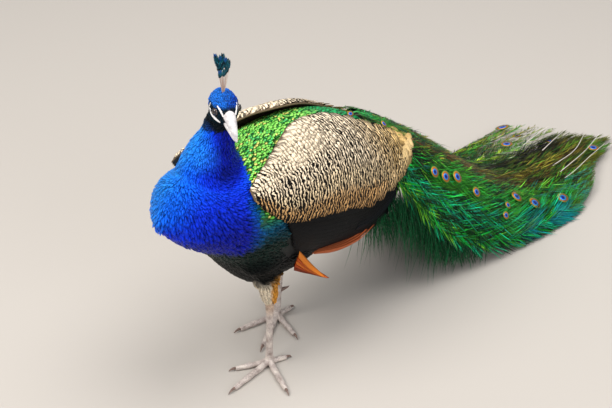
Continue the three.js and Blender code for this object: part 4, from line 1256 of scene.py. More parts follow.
def barbs_of(feather, side):
    """The barbs on one side of a shaft: root, lie, face, size, tint and place on the flattened train."""
    path, kind = feather["path"], feather["kind"]
    reach = np.concatenate([[0], np.cumsum(np.linalg.norm(np.diff(path, axis=0), axis=1))])
    at = np.arange(14, reach[-1] - 2, 4.6) + RNG.uniform(-1.2, 1.2)
    at = at + RNG.normal(0, 0.9, len(at))
    # How far each barb lies in a clump: clumped barbs are longer, and painted lighter as if lit
    clumped_and_lit = 0.5 + 0.5 * np.sin(at / RNG.uniform(7, 13) + RNG.uniform(0, 6.3))
    u = np.clip(at / reach[-1], 0, 1)
    here, face, run = (np.stack([np.interp(at, reach, column) for column in table.T], 1)
                       for table in (path, feather["face"], np.gradient(path, axis=0)))
    face, run = unit(face), unit(run)
    across = unit(np.cross(face, run)) * side
    y, share = here[:, 1], np.interp(at, reach, feather["share"])
    longest, slant = feather["barb"]
    angle = np.radians(RNG.normal(slant, 5, len(at)) - 8 * smooth(0.8, 1, u))
    lie = run * np.cos(angle)[:, None] + across * np.sin(angle)[:, None]
    lie = lie + face * RNG.normal(-0.01, 0.07, (len(at), 1))
    length = longest * BARB_GROWTH(u) * RNG.uniform(0.6, 1.2, len(at)) * (0.8 + 0.35 * clumped_and_lit)
    lie = unit(lie)
    lie[:, 2] = np.maximum(lie[:, 2], (2.0 - here[:, 2]) / length)
    tip = here + lie * length[:, None]
    keep = (np.abs(tip[:, 0]) < 168) & (tip[:, 1] < TRAIN_END(np.clip(tip[:, 0], -168, 150)) + 4)
    keep &= RNG.uniform(0, 1, len(at)) > 0.75 * (kind == "far") * smooth(0.62, 0.9, u)
    # Painted light and shade: barbs in a clump are lit, those in the gaps between clumps are shaded near black
    tint = feather["tint"] * RNG.uniform(0.35, 1.7, (len(at), 1)) * (0.15 + 1.45 * clumped_and_lit[:, None] ** 1.5)
    edge = (kind == "near") * smooth(0.74, 0.94, u) * (side > 0) * (feather["layer"] < 0.35)
    tint = mix(tint, linear("10c4c8") * RNG.uniform(0.6, 1.2, (len(at), 1)), 0.85 * edge)
    fold = smooth(0.77, 0.84, share) * smooth(500, 560, y) * smooth(770, 730, y)
    fold = fold * (np.sin(y / 17 + 9 * share) > -0.3)
    tint = mix(tint, linear("10b4c4") * RNG.uniform(0.2, 1.6, (len(at), 1)), 0.6 * fold)
    eye_near = np.min(np.linalg.norm(here[:, None] - eye_points, axis=2), axis=1)
    tint = mix(tint, linear("50d838") * RNG.uniform(0.1, 1.7, (len(at), 1)), 0.5 * smooth(38, 18, eye_near))
    tint = mix(tint, linear("8aa02e"), 0.5 * smooth(0.85, 1.0, u) * (kind != "ridge"))
    size = np.stack([RNG.uniform(1.0, 1.9, len(at)), length, np.full(len(at), 0.9)], 1)
    place = np.stack([y / 1000, 0.5 + share * 0.45], 1)
    return [table[keep] for table in (here, lie, face, size, tint, place)]


BARB_GROWTH = profile([(0, 0.45), (0.2, 0.75), (0.7, 1.0), (0.9, 0.8), (1, 0.45)])
barb_tables = {-1: [], 1: []}
for feather in long_feathers:
    for side, tables in barb_tables.items():
        tables.append(barbs_of(feather, side))

# %% Grow the barbs, a stretch of the train to each piece
MOST_TRIANGLES, BARB_TRIANGLES = 190000, 18

train_pieces = {}
for side, label, feather in ((1, "left", BARB_LEFT), (-1, "right", BARB_RIGHT)):
    here, lie, face, size, tint, spread = (np.concatenate(table) for table in zip(*barb_tables[side]))
    split = np.argsort(here[:, 1], kind="stable")
    parts = math.ceil(len(here) * BARB_TRIANGLES / MOST_TRIANGLES)
    for k, chosen in enumerate(np.array_split(split, parts)):
        name = f"train_barbs_{label}_{k + 1}"
        train_pieces[name] = rows(name, here[chosen], lie[chosen], face[chosen], size[chosen], tint[chosen],
                                  spread[chosen], feather, TRAIN_PLUMAGE, (0.003, 0.003))

# %% Barbs that bend under the floor are laid on it
FLOOR_GAP = 0.0004
for made in train_pieces.values():
    lowest = min(v.co.z for v in made.data.vertices)
    for vertex in made.data.vertices:
        vertex.co.z = max(vertex.co.z, FLOOR_GAP)
    print(made.name, "lowest", round(lowest * 1000, 1), "mm before, 0.4 mm or more after")

# %% Shafts: solid horn-like rods, smooth enough for a small highlight
SHAFT = plumage("horn-coloured feather shafts", 0.0, 0.45, 0.9, 6.0, 0.1, 0.25)
shaft_blades, shaft_tints = [], []
for feather in long_feathers:
    t = feather["t"]
    bare = feather["kind"] == "far" and feather["layer"] < 0.45
    half = (1.5 if bare else 0.9) * (1 - 0.6 * t)
    lift = 0.6 + (5.0 * t**2 if bare else 0)
    line = feather["path"] + feather["face"] * np.reshape(lift, (-1, 1))
    shaft_blades.append(plume(line, feather["face"], half, 0.9, 0.5))
    dull = mix(feather["tint"] * 1.3, linear("7a6a40"), 0.3)
    pale = mix(dull, linear("e6ded2"), smooth(0.45, 0.75, t) * bare)
    shaft_tints.append(np.vstack([np.repeat(pale, 6, axis=0), pale[0], pale[-1]]))
# Pale shafts that have lost their barbs, over the far end of the train
BARE_SHAFTS = [[(86, 683, 35), (81, 780, 32), (66, 862, 28), (54, 935, 24)],
               [(67, 758, 38), (47, 873, 30), (22, 960, 24)],
               [(40, 770, 36), (30, 858, 30), (-2, 940, 22)], [(-53, 790, 36), (-68, 870, 30), (-74, 910, 24)],
               [(-10, 800, 38), (-30, 880, 30), (-40, 925, 24)], [(96, 700, 30), (98, 770, 24), (90, 838, 18)]]
for bare_path in BARE_SHAFTS:
    line, _ = along_line(bare_path, 20)
    shaft_blades.append(plume(line, (0, 0, 1.0), 1.15 * (1 - 0.6 * np.linspace(0, 1, 20)), 1.0, 0.5))
    shaft_tints.append(linear("ddd6cc"))
train_pieces["train_shafts"] = plumes("train_shafts", shaft_blades, SHAFT, shaft_tints)

# %% The eyes' finish


def eyed(name):
    """The eye of a train feather: bronze, then green, copper and turquoise, round a violet-black heart."""
    material, tree, shader = finish(name, Metallic=0.25, Roughness=0.4, Specular_IOR_Level=0.25)
    uv = add(tree, "ShaderNodeUVMap", uv_map="vane")
    centre = add(tree, "ShaderNodeVectorMath", {0: uv, 1: (0.5, 0.5, 0)}, operation="SUBTRACT")
    away = add(tree, "ShaderNodeVectorMath", {0: centre}, operation="LENGTH")
    colours = ramp(tree, away.outputs["Value"], [
        (0.0, "0a0a40"), (0.12, "0c1480"), (0.16, "1050e0"), (0.23, "12a0c8"), (0.27, "a04a18"),
        (0.37, "d07a2c"), (0.41, "8fae30"), (0.46, "2a8038")])
    tree.links.new(colours.outputs[0], shader.inputs["Base Color"])
    coordinates = add(tree, "ShaderNodeTexCoord").outputs["Object"]
    barb = add(tree, "ShaderNodeTexNoise", {"Vector": coordinates, "Scale": 800.0})
    bump = add(tree, "ShaderNodeBump", {"Height": barb, "Strength": 0.4, "Distance": 0.0005})
    tree.links.new(bump.outputs[0], shader.inputs["Normal"])
    return material


EYED = eyed("eyes of the train")

# %% Eyes of the train


def disc(name):
    """A unit round vane: a shallow dome closed underneath, with its place on the vane map."""
    sides = 12
    points, flat, faces = [(0, 0.5, 1.0)], [(0.5, 0.5)], []
    for radius, height in ((0.25, 0.85), (0.5, 0.0)):
        for k in range(sides):
            a = 2 * math.pi * k / sides
            points.append((radius * math.cos(a), 0.5 + radius * math.sin(a), height))
            flat.append((0.5 + radius * math.cos(a), 0.5 + radius * math.sin(a)))
    points.append((0, 0.5, -0.4))
    flat.append((0.5, 0.5))
    for k in range(sides):
        n = (k + 1) % sides
        faces += [(0, 1 + k, 1 + n), (1 + k, 1 + sides + k, 1 + sides + n, 1 + n),
                  (2 * sides + 1, 1 + sides + n, 1 + sides + k)]
    return mould(name, points, faces, flat)


EYE_DISC = disc("eye of a train feather")
EYE_GAP = 38  # mm, the nearest that an eye at a feather's tip comes to another
eye_table = []
for y, share, wide in KNOWN_EYES:
    here, back, face = train_frame(y, share, -3.5)
    eye_table.append((here - back * 0.6 * wide, back, face, (wide, wide * 1.2, 1.8)))
for feather in long_feathers:
    path, face = feather["path"], feather["face"]
    if not feather["full"] or feather["kind"] == "ridge":
        continue
    if any(np.linalg.norm(path[-3] - other[0]) < EYE_GAP for other in eye_table):
        continue
    eye_table.append((path[-3] + face[-3] * 2.5, unit(path[-1] - path[-4]), face[-3], (20, 25, 1.6)))
count = np.arange(len(eye_table))
grid = np.stack([(count % 12) / 12, (count // 12) / 12], 1)
train_pieces["train_eyes"] = rows("train_eyes", *(np.array(column) for column in zip(*eye_table)),
                                  np.ones((len(count), 3)), grid, EYE_DISC, EYED, (0.08, 0.08))

# %% The dark bed beneath the barbs: painted shade in the gaps between them


def train_bed(u, v):
    """A wavy sheet some 13 mm under the train's surface, which carries painted shade for the gaps between the
    barbs.
    """
    y = 205 + (600 - 150 * (1 - v) - 110 * smooth(0.55, 1, v)) * u
    here, _, face = train_frame(y, -0.93 + 1.84 * v, 13 + 3 * np.sin(9 * v + 5 * u))
    here[..., 2] = np.maximum(here[..., 2], 4)
    return here, face


points, faces = sheet(train_bed, 60, 36, 2.5)
# Painted shade: the sheet is near black, so that the gaps between the barbs read as shade
under = mix(linear("070b05"), linear("04140a"), smooth(-60, 120, points[:, 0]))
train_pieces["train_bed"] = make("train_bed", points, faces, skin_finish, under)

# %% Wisps that hang from the train's edges to the ground
WISP = strand("hanging wisp", 4, 0.18)
FRINGE_SIDE = profile([(188, 60), (230, 78), (300, 101), (430, 136)])
wisps = []
for side in (-1, 1):
    for k in range(1100):
        y = RNG.uniform(186, 440)
        top = float(np.minimum(TRAIN_EDGE(y) + RNG.uniform(-30, 60), 225))
        x = side * (float(FRINGE_SIDE(y)) - RNG.uniform(0, 26))
        length = RNG.uniform(0.35, 1.0) ** 0.7 * min(top - 5, 150)
        if length < 14:
            continue
        aim = unit(np.array((side * RNG.normal(0.0, 0.10), RNG.normal(0.22, 0.24), -1.0)))
        wisps.append((
            (x, y, top), aim, unit((side, 0.15 * RNG.normal(), 0.2)), (RNG.uniform(0.7, 1.5), length, 1.1),
            mix(linear("04351a"), linear("0a8048"), RNG.uniform(0, 1)) * RNG.uniform(0.5, 1.4),
            (y / 500, 0.5 + side * 0.2 + 0.15 * RNG.uniform(-1, 1))))
train_pieces["train_wisps"] = rows("train_wisps", *(np.array(column) for column in zip(*wisps)), WISP,
                                   TRAIN_PLUMAGE, (0.003, 0.003))

# %% [markdown]
# ## The real tail
# Under the train are stiff brown tail feathers, which prop it up. They show from behind and from below.

# %% Tail feathers
# Plain brown pigment in stiff vanes: matt, with fine barbs to be seen
TAIL = plumage("brown tail feathers", 0.0, 0.6, 0.8, 40.0, 0.3, 0.2)
blades, tints = [], []
for k in range(12):
    v = (k - 5.5) / 5.5
    y = np.linspace(262, 538 - 26 * abs(v), 20)
    t = np.linspace(0, 1, 20)
    half_fan = 26 + 40 * t
    z = TRAIN_TOP(y) - 63 - 12 * v * v - 0.5 * abs(k - 5.5)
    path = np.stack([v * half_fan, y, z], 1)
    half = profile([(0, 5), (0.3, 10), (0.85, 13), (1, 5)])(t)
    blades.append(plume(path, (0.1 * v, 0.0, 1.0), half, 1.2, 0.08))
    tints.append(linear("4b3a2a") * RNG.uniform(0.8, 1.15))
tail = plumes("tail_feathers", blades, TAIL, tints)

# %% [markdown]
# ## Head: bill, eyes, bare skin and crest
# A peacock's face is bare white skin above and below the eye, split by a dark line through it. The bill is
# stout horn with a ridge, an arched tip and slit nostrils.

# %% Bill
UPPER_BILL = [(0, -17, 4, 10, 8.6), (0, -28, 3, 9.6, 8.6), (0, -39, 0, 7.8, 7.2), (0, -50, -4, 5.6, 5.2),
              (0, -59, -8.6, 3.5, 3.1), (0, -64.5, -13.4, 1.4, 1.4)]
LOWER_BILL = [(0, -18, -7.5, 9.6, 4), (0, -30, -9.6, 8.8, 3.8), (0, -42, -11.6, 6.8, 3.2),
              (0, -53, -14.2, 4.2, 2.3), (0, -59, -16.2, 1.9, 1.3)]
HORN_ROUGHNESS = 0.4


def horn(name, light_code, dark_code, scale):
    """Horn: layered keratin, streaked along its growth and a little glossy."""
    material, tree, shader = finish(name, Roughness=HORN_ROUGHNESS)
    coordinates = add(tree, "ShaderNodeTexCoord").outputs["Object"]
    clouds = add(tree, "ShaderNodeTexNoise", {"Vector": coordinates, "Scale": scale, "Detail": 5.0,
                                             "Roughness": 0.6})
    colour = ramp(tree, clouds, [(0.3, dark_code), (0.62, light_code)])
    tree.links.new(colour.outputs[0], shader.inputs["Base Color"])
    fine = add(tree, "ShaderNodeTexNoise", {"Vector": coordinates, "Scale": scale * 5, "Detail": 3.0})
    roughness = ramp(tree, fine, [(0.3, HORN_ROUGHNESS - 0.1), (0.7, HORN_ROUGHNESS + 0.15)])
    tree.links.new(roughness.outputs[0], shader.inputs["Roughness"])
    bump = add(tree, "ShaderNodeBump", {"Height": fine, "Strength": 0.3, "Distance": 0.0003})
    tree.links.new(bump.outputs[0], shader.inputs["Normal"])
    return material


BILL_HORN = horn("pale bill horn", "e2dedb", "a69fa3", 130.0)
CLAW_HORN = horn("brown claw horn", "80675c", "4c3b33", 200.0)


def culmen(angle, mm):
    """The upper bill's section: a ridge above, flat below."""
    s = np.sin(angle)
    return 1 + 0.12 * np.clip(s, 0, 1) ** 3 - 0.08 * np.abs(np.sin(2 * angle)) - 0.10 * np.clip(-s, 0, 1)


bill_upper = make("bill_upper_horn", *tube(head_stations(UPPER_BILL), 28, 44, HEAD_SIDE, culmen), BILL_HORN)
bill_lower = make("bill_lower_horn", *tube(head_stations(LOWER_BILL), 24, 36, HEAD_SIDE), BILL_HORN)

# %% Finishes of the eyes and the bare skin


def mottled(name, scale, stops, detail=2.0, relief=None, **values):
    """A finish whose colour wanders over the surface; relief is its bump's strength and depth."""
    material, tree, shader = finish(name, **values)
    coordinates = add(tree, "ShaderNodeTexCoord").outputs["Object"]
    grain = add(tree, "ShaderNodeTexNoise", {"Vector": coordinates, "Scale": scale, "Detail": detail})
    tree.links.new(ramp(tree, grain, stops).outputs[0], shader.inputs["Base Color"])
    if relief:
        bump = add(tree, "ShaderNodeBump", {"Height": grain, "Strength": relief[0], "Distance": relief[1]})
        tree.links.new(bump.outputs[0], shader.inputs["Normal"])
    return material


# Wet clear cornea over a brown iris: one small sharp highlight
IRIS = mottled("dark brown iris", 900.0, [(0.35, "1a0c06"), (0.65, "3a2010")],
               Roughness=0.15, Coat_Weight=1.0, Coat_Roughness=0.03)
# The hole in the iris, behind the same cornea: black, and as sharply lit
PUPIL = mottled("black pupil", 500.0, [(0.3, "030202"), (0.7, "0a0605")], Roughness=0.08, Coat_Weight=1.0)
# Dry, finely pebbled skin without feathers: chalky white
BARE_SKIN = mottled("bare white facial skin", 700.0, [(0.3, "d9d4d0"), (0.6, "f6f3f0")], 3.0, (0.6, 0.0004),
                    Roughness=0.55)
# Thin pigmented skin: a soft slate edge to the eye
LID_SKIN = mottled("dark eyelid skin", 900.0, [(0.3, "10161a"), (0.7, "24303a")], Roughness=0.6)

# %% Eyes
PUPIL_LEAN = 27.5  # degrees from the gaze to the pupil's edge
RING_LEANS = (3, 8, 14, 20, 26, 29, 33, 40, 48, 56, 64, 74, 86, 100, 118, 140, 160)


def gaze_frame(side):
    """An eye's middle, the way it looks, and the ways beside and above that, in the head's own frame."""
    gaze = unit((side * 0.93, -0.34, 0.06))
    aside = unit(np.cross(gaze, (0, 0, 1.0)))
    return EYE_PLACE * (side, 1, 1), gaze, aside, np.cross(aside, gaze)


def eyeball(name, side):
    """A sphere whose rings run round its gaze, so that the pupil's edge lies on a ring."""
    centre, gaze, aside, above = gaze_frame(side)
    rings = []
    a = np.linspace(0, 2 * np.pi, 40, endpoint=False)
    for lean in np.radians(RING_LEANS):
        rings.append(centre + EYE_RADIUS * (gaze * math.cos(lean) + math.sin(lean)
                                            * (np.outer(np.cos(a), aside) + np.outer(np.sin(a), above))))
    points, faces = rings_shape(rings, centre + gaze * EYE_RADIUS, centre - gaze * EYE_RADIUS)
    made = make(name, in_head(points), faces)
    made.data.materials.append(IRIS)
    made.data.materials.append(PUPIL)
    for face in made.data.polygons:
        middle = np.mean([np.array(made.data.vertices[v].co) * 1000 - ORIGIN for v in face.vertices], 0)
        lean = math.degrees(math.acos(np.clip(np.dot(unit(to_head(middle) - centre), gaze), -1, 1)))
        face.material_index = 1 if lean < PUPIL_LEAN else 0
    return made


eyes = {label: eyeball(f"eyeball_{label}", side) for label, side in SIDES.items()}

# %% Bare white skin


def pad(path, widths):
    """A soft low ridge along a path on the head, about 2 mm proud of the skin."""
    steps, lift, height = 26, 0.6, 1.5
    line, _ = along_line(path, steps)
    places, faces = on_skin(in_head(line))
    half = profile([(i / (len(widths) - 1), w) for i, w in enumerate(widths)])(np.linspace(0, 1, steps))
    run = unit(np.gradient(places, axis=0))
    across = unit(np.cross(run, faces))
    a = np.linspace(0, 2 * np.pi, 8, endpoint=False)
    rings = (places[:, None] + faces[:, None] * (lift + height * np.sin(a))[None, :, None]
             + across[:, None] * (half[:, None] * np.cos(a))[..., None])
    return rings_shape(rings)


white_patches = []
for side in SIDES.values():
    streak = [(side * 16.4, -10.5, 16.2), (side * 15.2, -13.7, 15.0), (side * 13.5, -17.8, 13.0),
              (side * 12.4, -23.3, 9.4), (side * 11.2, -27.0, 5.0)]
    crescent = [(side * 20.1, 5.3, 10.0), (side * 21.8, 4.8, 1.8), (side * 21.0, -0.4, -2.0),
                (side * 20.4, -8.1, -4.0), (side * 16.8, -15.6, -6.6), (side * 12.6, -21.8, -8.6)]
    white_patches.append(pad(streak, (0.8, 1.5, 1.7, 1.7, 0.9)))
    white_patches.append(pad(crescent, (0.6, 1.5, 2.0, 2.2, 2.0, 0.9)))
bare_skin = make("bare_skin", *joined(white_patches), BARE_SKIN)

# %% Lids and nostrils


def lid(side):
    """A ring of skin round the eye's opening, a little wider than it is high."""
    centre, gaze, aside, above = gaze_frame(side)
    opening, around, sides = math.radians(48), 36, 8
    rings = []
    for angle in np.linspace(0, 2 * np.pi, around, endpoint=False):
        radial = math.cos(angle) * aside * 1.05 + math.sin(angle) * above * 0.9
        middle = centre + (EYE_RADIUS + 0.15) * (gaze * math.cos(opening) + radial * math.sin(opening))
        outwards, wide = unit(middle - centre), unit(radial)
        rings += [middle + outwards * 0.9 * math.sin(t) + wide * 1.1 * math.cos(t)
                  for t in np.linspace(0, 2 * np.pi, sides, endpoint=False)]
    faces = []
    for r in range(around):
        this, following = r * sides, (r + 1) % around * sides
        faces += [(this + k, following + k, following + (k + 1) % sides, this + (k + 1) % sides)
                  for k in range(sides)]
    points = in_head(rings)
    return points, outward(points, faces)


eyelids = make("eyelids", *joined([lid(side) for side in SIDES.values()]), LID_SKIN)

nostrils = []
for side in SIDES.values():
    line = [(side * 6.6, -29, 2.2, 0.7, 0.5), (side * 6.9, -33, 1.4, 1.0, 0.8),
            (side * 6.3, -37, 0.4, 0.6, 0.5)]
    nostrils.append(tube(head_stations(line), 10, 10, HEAD_SIDE))
nostril_slits = make("nostrils", *joined(nostrils), LID_SKIN)
print("bill, eyes, lids and nostrils:", sum(map(triangles, (bill_upper, bill_lower, *eyes.values(), eyelids))),
      "triangles")

# %% [markdown]
# ## Head feathers
# The crown carries tiny round feathers, and painted shade on the skin darkens the gaps between them; the
# sides of the face and the throat are blackish green. The head's own feathers are a few millimetres long,
# the smallest on the bird.

# %% Head feathers


def head_tint(points, normals):
    """The head's colours: a blue crown with a painted highlight where it faces the light, blackish green sides
    and throat, and blue again behind.
    """
    p = to_head(points)
    x, y, z = p[:, 0], p[:, 1], p[:, 2]
    # Painted light: facing is how far the surface turns to the light; the crown is painted lighter and nearer
    # cyan there
    facing = unit(normals) @ unit((-0.45, -0.4, 0.8))
    crown = mix(linear("0a3fb4"), linear("2580f0"), smooth(-0.2, 0.9, facing + 0.3 * waver(points, 3)))
    face = layered(linear("052432"), ("010508", 1 - smooth(-14, -4, z)),
                   ("0a3a66", smooth(9, 14, y) * (1 - smooth(-18, -6, z))))
    line = smooth(11.5, 15.5, z + 0.15 * (y + 10) + 0.05 * np.abs(x))
    back_side = smooth(6, 14, y)
    tint = mix(face, crown, np.maximum(line, back_side * smooth(-14, -2, z)))
    throat = (1 - smooth(-2, 6, y)) * (1 - smooth(-16, -10, z))
    nape = smooth(12, 20, y) * (1 - smooth(-16, -8, z))
    return layered(tint, ("03141f", throat), ("0838d8", nape))


head_share = smooth(480, 490, places[:, 2])
h = to_head(places)
eye_gap = np.minimum(*(np.linalg.norm(h - EYE_PLACE * (s, 1, 1), axis=1) for s in (1, -1)))
paint(skin.data, "head", head_share * (eye_gap > 7.0) * ((h[:, 1] > -23) | (h[:, 2] < -5)), "FLOAT")
throat_low = 468 - 20 * smooth(-6, -26, h[:, 1]) * (1 - smooth(14, 26, np.abs(h[:, 0])))
out = values_of(skin.data, "normal")
mixed = mix(body_tint(places, out), head_tint(places, out),
            smooth(-6, 30, places[:, 2] - throat_low + 3 * waver(places, 5)))
paint(skin.data, "feather_tint", mixed)
# Painted shade: the skin that shows between the head's feathers takes their colour, darkened
paint(skin.data, "tint", mixed * 0.45)
sow("head", BLUE_PLUMAGE, 0.0016, 1300000.0, 0.0023, 0.0040, 0.0013, 0.22, 12)

# %% Crest
# Blue-green film on the fans gives a small gleam; the shafts are bare pale horn without one
CREST_VANE = plumage("blue-green crest vanes", 0.3, 0.4, 0.9, 10.0, 0.3, 0.2)
CREST_SHAFT = plumage("pale pink crest shafts", 0.0, 0.5, 1.0, 10.0, 0.1, 0.2)
foot = in_head((0, 5, 26))
facing = HEAD_TURN @ np.array((0.25, -1.0, 0.2))
WORN_AWAY = 3  # the one feather of the crest that has lost its fan
shafts, fans, shaft_tints, fan_tints = [], [], [], []
for i in range(15):
    spread_at = i / 14 - 0.5
    sweep = math.radians(spread_at * 40 + 17)
    splay = math.radians((((i * 4) % 15) - 7) * 1.45 + RNG.normal(0, 0.8))
    length = (62 - 12 * abs(spread_at)) * (1.0, 0.93, 0.97, 0.84)[i % 4]
    aim = unit(HEAD_TURN @ np.array((math.sin(splay), math.sin(sweep), math.cos(sweep) * math.cos(splay))))
    start = foot - aim * 2 + HEAD_TURN @ np.array((12 * math.sin(splay), 9 * spread_at, 0))
    t = np.linspace(0, 1, 10)
    sag = HEAD_TURN @ np.array((0.4 * math.sin(i), 1.0, 0)) * spread_at * 3
    gathered = HEAD_TURN @ np.array((0, 6, -2))
    line = start + np.outer(t, aim * length) + np.outer(t * t, sag) + np.outer(1 - t, gathered)
    shafts.append(plume(line, facing, 0.62 - 0.3 * t, 0.7, 0.5))
    shaft_tints.append(linear("d2b6a6") * RNG.uniform(0.8, 1.05))
    across = unit(np.cross(aim, facing))
    if i == WORN_AWAY:
        continue
    for k in range(15):
        s = 0.76 + 0.23 * (k / 14)
        lean = math.radians(52 - 30 * k / 14) * (1 if k % 2 else -1)
        way = unit(aim * math.cos(lean) + across * math.sin(lean))
        root = start + aim * length * s + sag * s * s
        reach = 6.4 - 3.0 * abs(k / 14 - 0.5)
        barb_line = root + np.outer(np.linspace(0, 1, 4), way * reach)
        fans.append(plume(barb_line, facing, (0.6, 1.0, 0.9, 0.3), 0.5, 0.3))
        shade = mix(linear("031d2a"), linear("0e7488"), RNG.uniform(0, 1) ** 1.6)
        fan_tints.append(shade if k < 9 or i % 3 else mix(shade, linear("1d5fc0"), 0.5))
crest_shafts = plumes("crest_shafts", shafts, CREST_SHAFT, shaft_tints)
crest_fans = plumes("crest_fans", fans, CREST_VANE, fan_tints)

# %% [markdown]
# ## Legs and feet
# Legs and toes are covered in overlapping horny scutes: large ones down the front of the leg, a ring every
# few millimetres along the top of each toe, and small netted scales behind. The scutes are shaped in the
# mesh, as small steps in the rings, and the netting is in the finish.

# %% The legs' finish: dry keratin, netted with fine grooves, with a dull waxy sheen
LEG_SCALES, tree, shader = finish("grey horny leg scales", Roughness=0.5)
coordinates = add(tree, "ShaderNodeTexCoord").outputs["Object"]
net = add(tree, "ShaderNodeTexVoronoi", {"Vector": coordinates, "Scale": 420.0}, feature="DISTANCE_TO_EDGE")
clouds = add(tree, "ShaderNodeTexNoise", {"Vector": coordinates, "Scale": 90.0, "Detail": 4.0})
tone = ramp(tree, clouds, [(0.3, "9c8c84"), (0.5, "c6b8b0"), (0.72, "e0d4c8")])
groove = ramp(tree, net, [(0.0, 0.55), (0.12, 1.0)])
scaled_tone = add(tree, "ShaderNodeVectorMath", {0: tone, 1: groove}, operation="MULTIPLY")
tint = add(tree, "ShaderNodeAttribute", attribute_name="tint")
toned = add(tree, "ShaderNodeVectorMath", {0: scaled_tone, 1: tint.outputs["Color"]}, operation="MULTIPLY")
tree.links.new(toned.outputs[0], shader.inputs["Base Color"])
bump = add(tree, "ShaderNodeBump", {"Height": groove, "Strength": 0.35, "Distance": 0.0005})
tree.links.new(bump.outputs[0], shader.inputs["Normal"])

# %% Steps of the scutes
TOE_SCUTES = 4.2
CLAW_LENGTHS = {"inner": 12, "middle": 15, "outer": 13, "hind": 9}


def scutes(spacing, depth, front=math.pi / 2):
    """Ring steps every `spacing` mm, deepest where the ring faces `front`."""
    def swell(angle, mm):
        saw = (mm / spacing) % 1.0
        share = 0.25 + 0.75 * np.clip(np.cos(angle - front), 0, 1)
        return 1 + depth * (0.5 - saw) * share
    return swell


def above_floor(shape):
    """A shape whose underside is pressed flat on the floor."""
    points, faces = shape
    points[:, 2] = np.maximum(points[:, 2], 0.0)
    return points, faces

# %% One toe and its claw


def toe_and_claw(foot_point, toe, degrees, length):
    """A scuted toe with pads at its joints, and the claw at its end."""
    way = np.array((math.sin(math.radians(degrees)), -math.cos(math.radians(degrees)), 0))
    across = (-way[1], way[0], 0)

    def at(s, z):
        return foot_point + way * s + (0, 0, z)

    def pads(angle, mm):
        saw = (mm / TOE_SCUTES) % 1.0
        top = np.clip(np.sin(angle), 0, 1)
        knuckle = 0.07 * np.cos(2 * np.pi * mm / (length / 3.2))
        return 1 + 0.11 * (0.5 - saw) * top + knuckle * (1 - 0.5 * top)

    stations = [(*at(0, 8.4), 6.6, 8.3), (*at(0.26 * length, 5.3), 5.5, 5.2),
                (*at(0.74 * length, 4.9), 4.8, 4.8), (*at(length - 2, 4.1), 3.6, 4.0)]
    claw = CLAW_LENGTHS[toe]
    line = [(*at(length - 4, 4.9), 2.3, 2.6), (*at(length + 0.25 * claw, 5.6), 2.1, 2.4),
            (*at(length + 0.65 * claw, 4.3), 1.4, 1.6), (*at(length + 0.95 * claw, 1.5), 0.5, 0.6)]
    return above_floor(tube(stations, 20, 90, across, pads)), above_floor(tube(line, 14, 22, across))

# %% Legs, feet, claws and spurs
leg_pieces = {}
for label, leg in LEGS.items():
    foot_point, hock = np.array(leg["foot"], float), np.array(leg["hock"], float)
    ankle = foot_point + (0, 0, 12)
    shank = [(*(ankle + (hock - ankle) * s), w, h) for s, w, h in
             ((0, 7, 7.4), (0.12, 6, 6.8), (0.4, 5.2, 6.2), (0.75, 5.6, 6.6), (0.93, 7.4, 8.4), (1.02, 7, 7.6))]
    points, faces = tube(shank, 24, 150, (1, 0, 0), scutes(6.5, 0.09, -math.pi / 2))
    tint = mix(np.array((1.0, 1.0, 1.0)), linear("e8c08a") * 1.2, 0.5 * smooth(95, 130, points[:, 2]))
    leg_pieces[f"leg_{label}_scales"] = make(f"leg_{label}_scales", points, faces, LEG_SCALES, tint)
    toes, claws = zip(*(toe_and_claw(foot_point, toe, *size) for toe, size in leg["toes"].items()))
    heel = [(*(foot_point + (0, 0, 5.6)), 8.5, 7.5), (*(foot_point + (0, 0, 15)), 7.4, 7.8)]
    points, faces = joined([*toes, above_floor(tube(heel, 22, 12, (1, 0, 0)))])
    plain = np.ones((len(points), 3))
    leg_pieces[f"foot_{label}_scales"] = make(f"foot_{label}_scales", points, faces, LEG_SCALES, plain)
    leg_pieces[f"claws_{label}"] = make(f"claws_{label}", *joined(claws), CLAW_HORN)
    root = ankle + (hock - ankle) * 0.36
    aim = unit((-leg["side"] * 0.45, 0.86, 0.22))
    spur = [(*(root + aim * 4.5), 4.2, 4.2), (*(root + aim * 11), 3.0, 3.0), (*(root + aim * 17), 1.7, 1.7),
            (*(root + aim * 20.5 + (0, 0, 1.2)), 0.5, 0.5)]
    leg_pieces[f"spur_{label}_horn"] = make(f"spur_{label}_horn", *tube(spur, 14, 20, (0, 0, 1)), CLAW_HORN)
print("legs and feet:", sum(map(triangles, leg_pieces.values())), "triangles")

# %% [markdown]
# ## Each piece stands for its solids
# The imported solids stay in the model for collision, hidden; a table lists for every dressed piece the ones
# it stands for and the name of a material slot.

# %% Remove the moulds and the working attributes
for shape in (NARROW, SCALE, COVERT, BARB_LEFT, BARB_RIGHT, WISP, EYE_DISC):
    bpy.data.objects.remove(shape)
for layer in ("lie", "feather_tint", "neck", "breast", "belly", "shin", "head"):
    skin.data.attributes.remove(skin.data.attributes[layer])

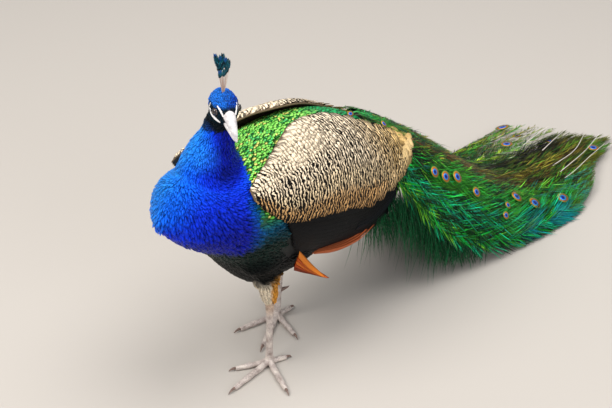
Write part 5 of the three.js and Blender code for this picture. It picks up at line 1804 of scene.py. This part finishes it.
# %% Which solids each piece stands for, and its slot
SKIN_NODES = ["head", "neck_upper", "neck_lower", "breast", "belly", "mantle", "rump", "thigh_left",
              "thigh_right"]
TRAIN_NODES = [n for n in frame["nodes"] if n.startswith("train_")]
stands_for = {
    skin: (SKIN_NODES, "blue_plumage"),
    bill_upper: (["bill_upper"], "bill_horn"), bill_lower: (["bill_lower"], "bill_horn"),
    nostril_slits: ([], "bill_horn"), bare_skin: ([], "bill_horn"), eyelids: ([], "dark_plumage"),
    eyes["left"]: (["eye_left"], "eye"), eyes["right"]: (["eye_right"], "eye"),
    crest_shafts: (["crest"], "crest_feathers"), crest_fans: (["crest"], "crest_feathers"),
    coats["head"]: ([], "blue_plumage"), coats["neck"]: ([], "blue_plumage"),
    coats["breast"]: ([], "blue_plumage"), coats["belly"]: ([], "dark_plumage"),
    coats["shin"]: ([], "thigh_plumage"), coats["mantle"]: ([], "scaled_plumage"),
    tail: (["tail"], "tail_feathers"),
}
WING_ROWS = (("coverts", "shield", "barred_plumage"), ("bed", "shield", "barred_plumage"),
             ("secondaries_vanes", "secondaries", "black_flight_feathers"),
             ("primaries_vanes", "primaries", "chestnut_flight_feathers"),
             ("tip_vanes", "tip", "chestnut_flight_feathers"))
for label in SIDES:
    for part, node, slot in WING_ROWS:
        stands_for[wing_pieces[f"wing_{label}_{part}"]] = ([f"wing_{label}_{node}"], slot)
    claw_nodes = [f"claw_{label}_{toe}" for toe in CLAW_LENGTHS]
    for name, nodes, slot in ((f"leg_{label}_scales", [f"shank_{label}"], "leg_scales"),
                              (f"foot_{label}_scales", [f"foot_{label}"], "leg_scales"),
                              (f"claws_{label}", claw_nodes, "claw_horn"),
                              (f"spur_{label}_horn", [f"spur_{label}"], "claw_horn")):
        stands_for[leg_pieces[name]] = (nodes, slot)
for name, piece in train_pieces.items():
    stands_for[piece] = (TRAIN_NODES if name in ("train_bed", "train_barbs_left_1") else [], "train_feathers")

# %% Ride and replace

for piece, (nodes, slot) in stands_for.items():
    piece.location = (0, 0, 0)
    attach(piece, "root")
    if nodes:
        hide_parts(*nodes)

total = sum(triangles(piece) for piece in stands_for)
biggest = max(stands_for, key=triangles)
print("dressed model", total, "triangles; most in", biggest.name, triangles(biggest))
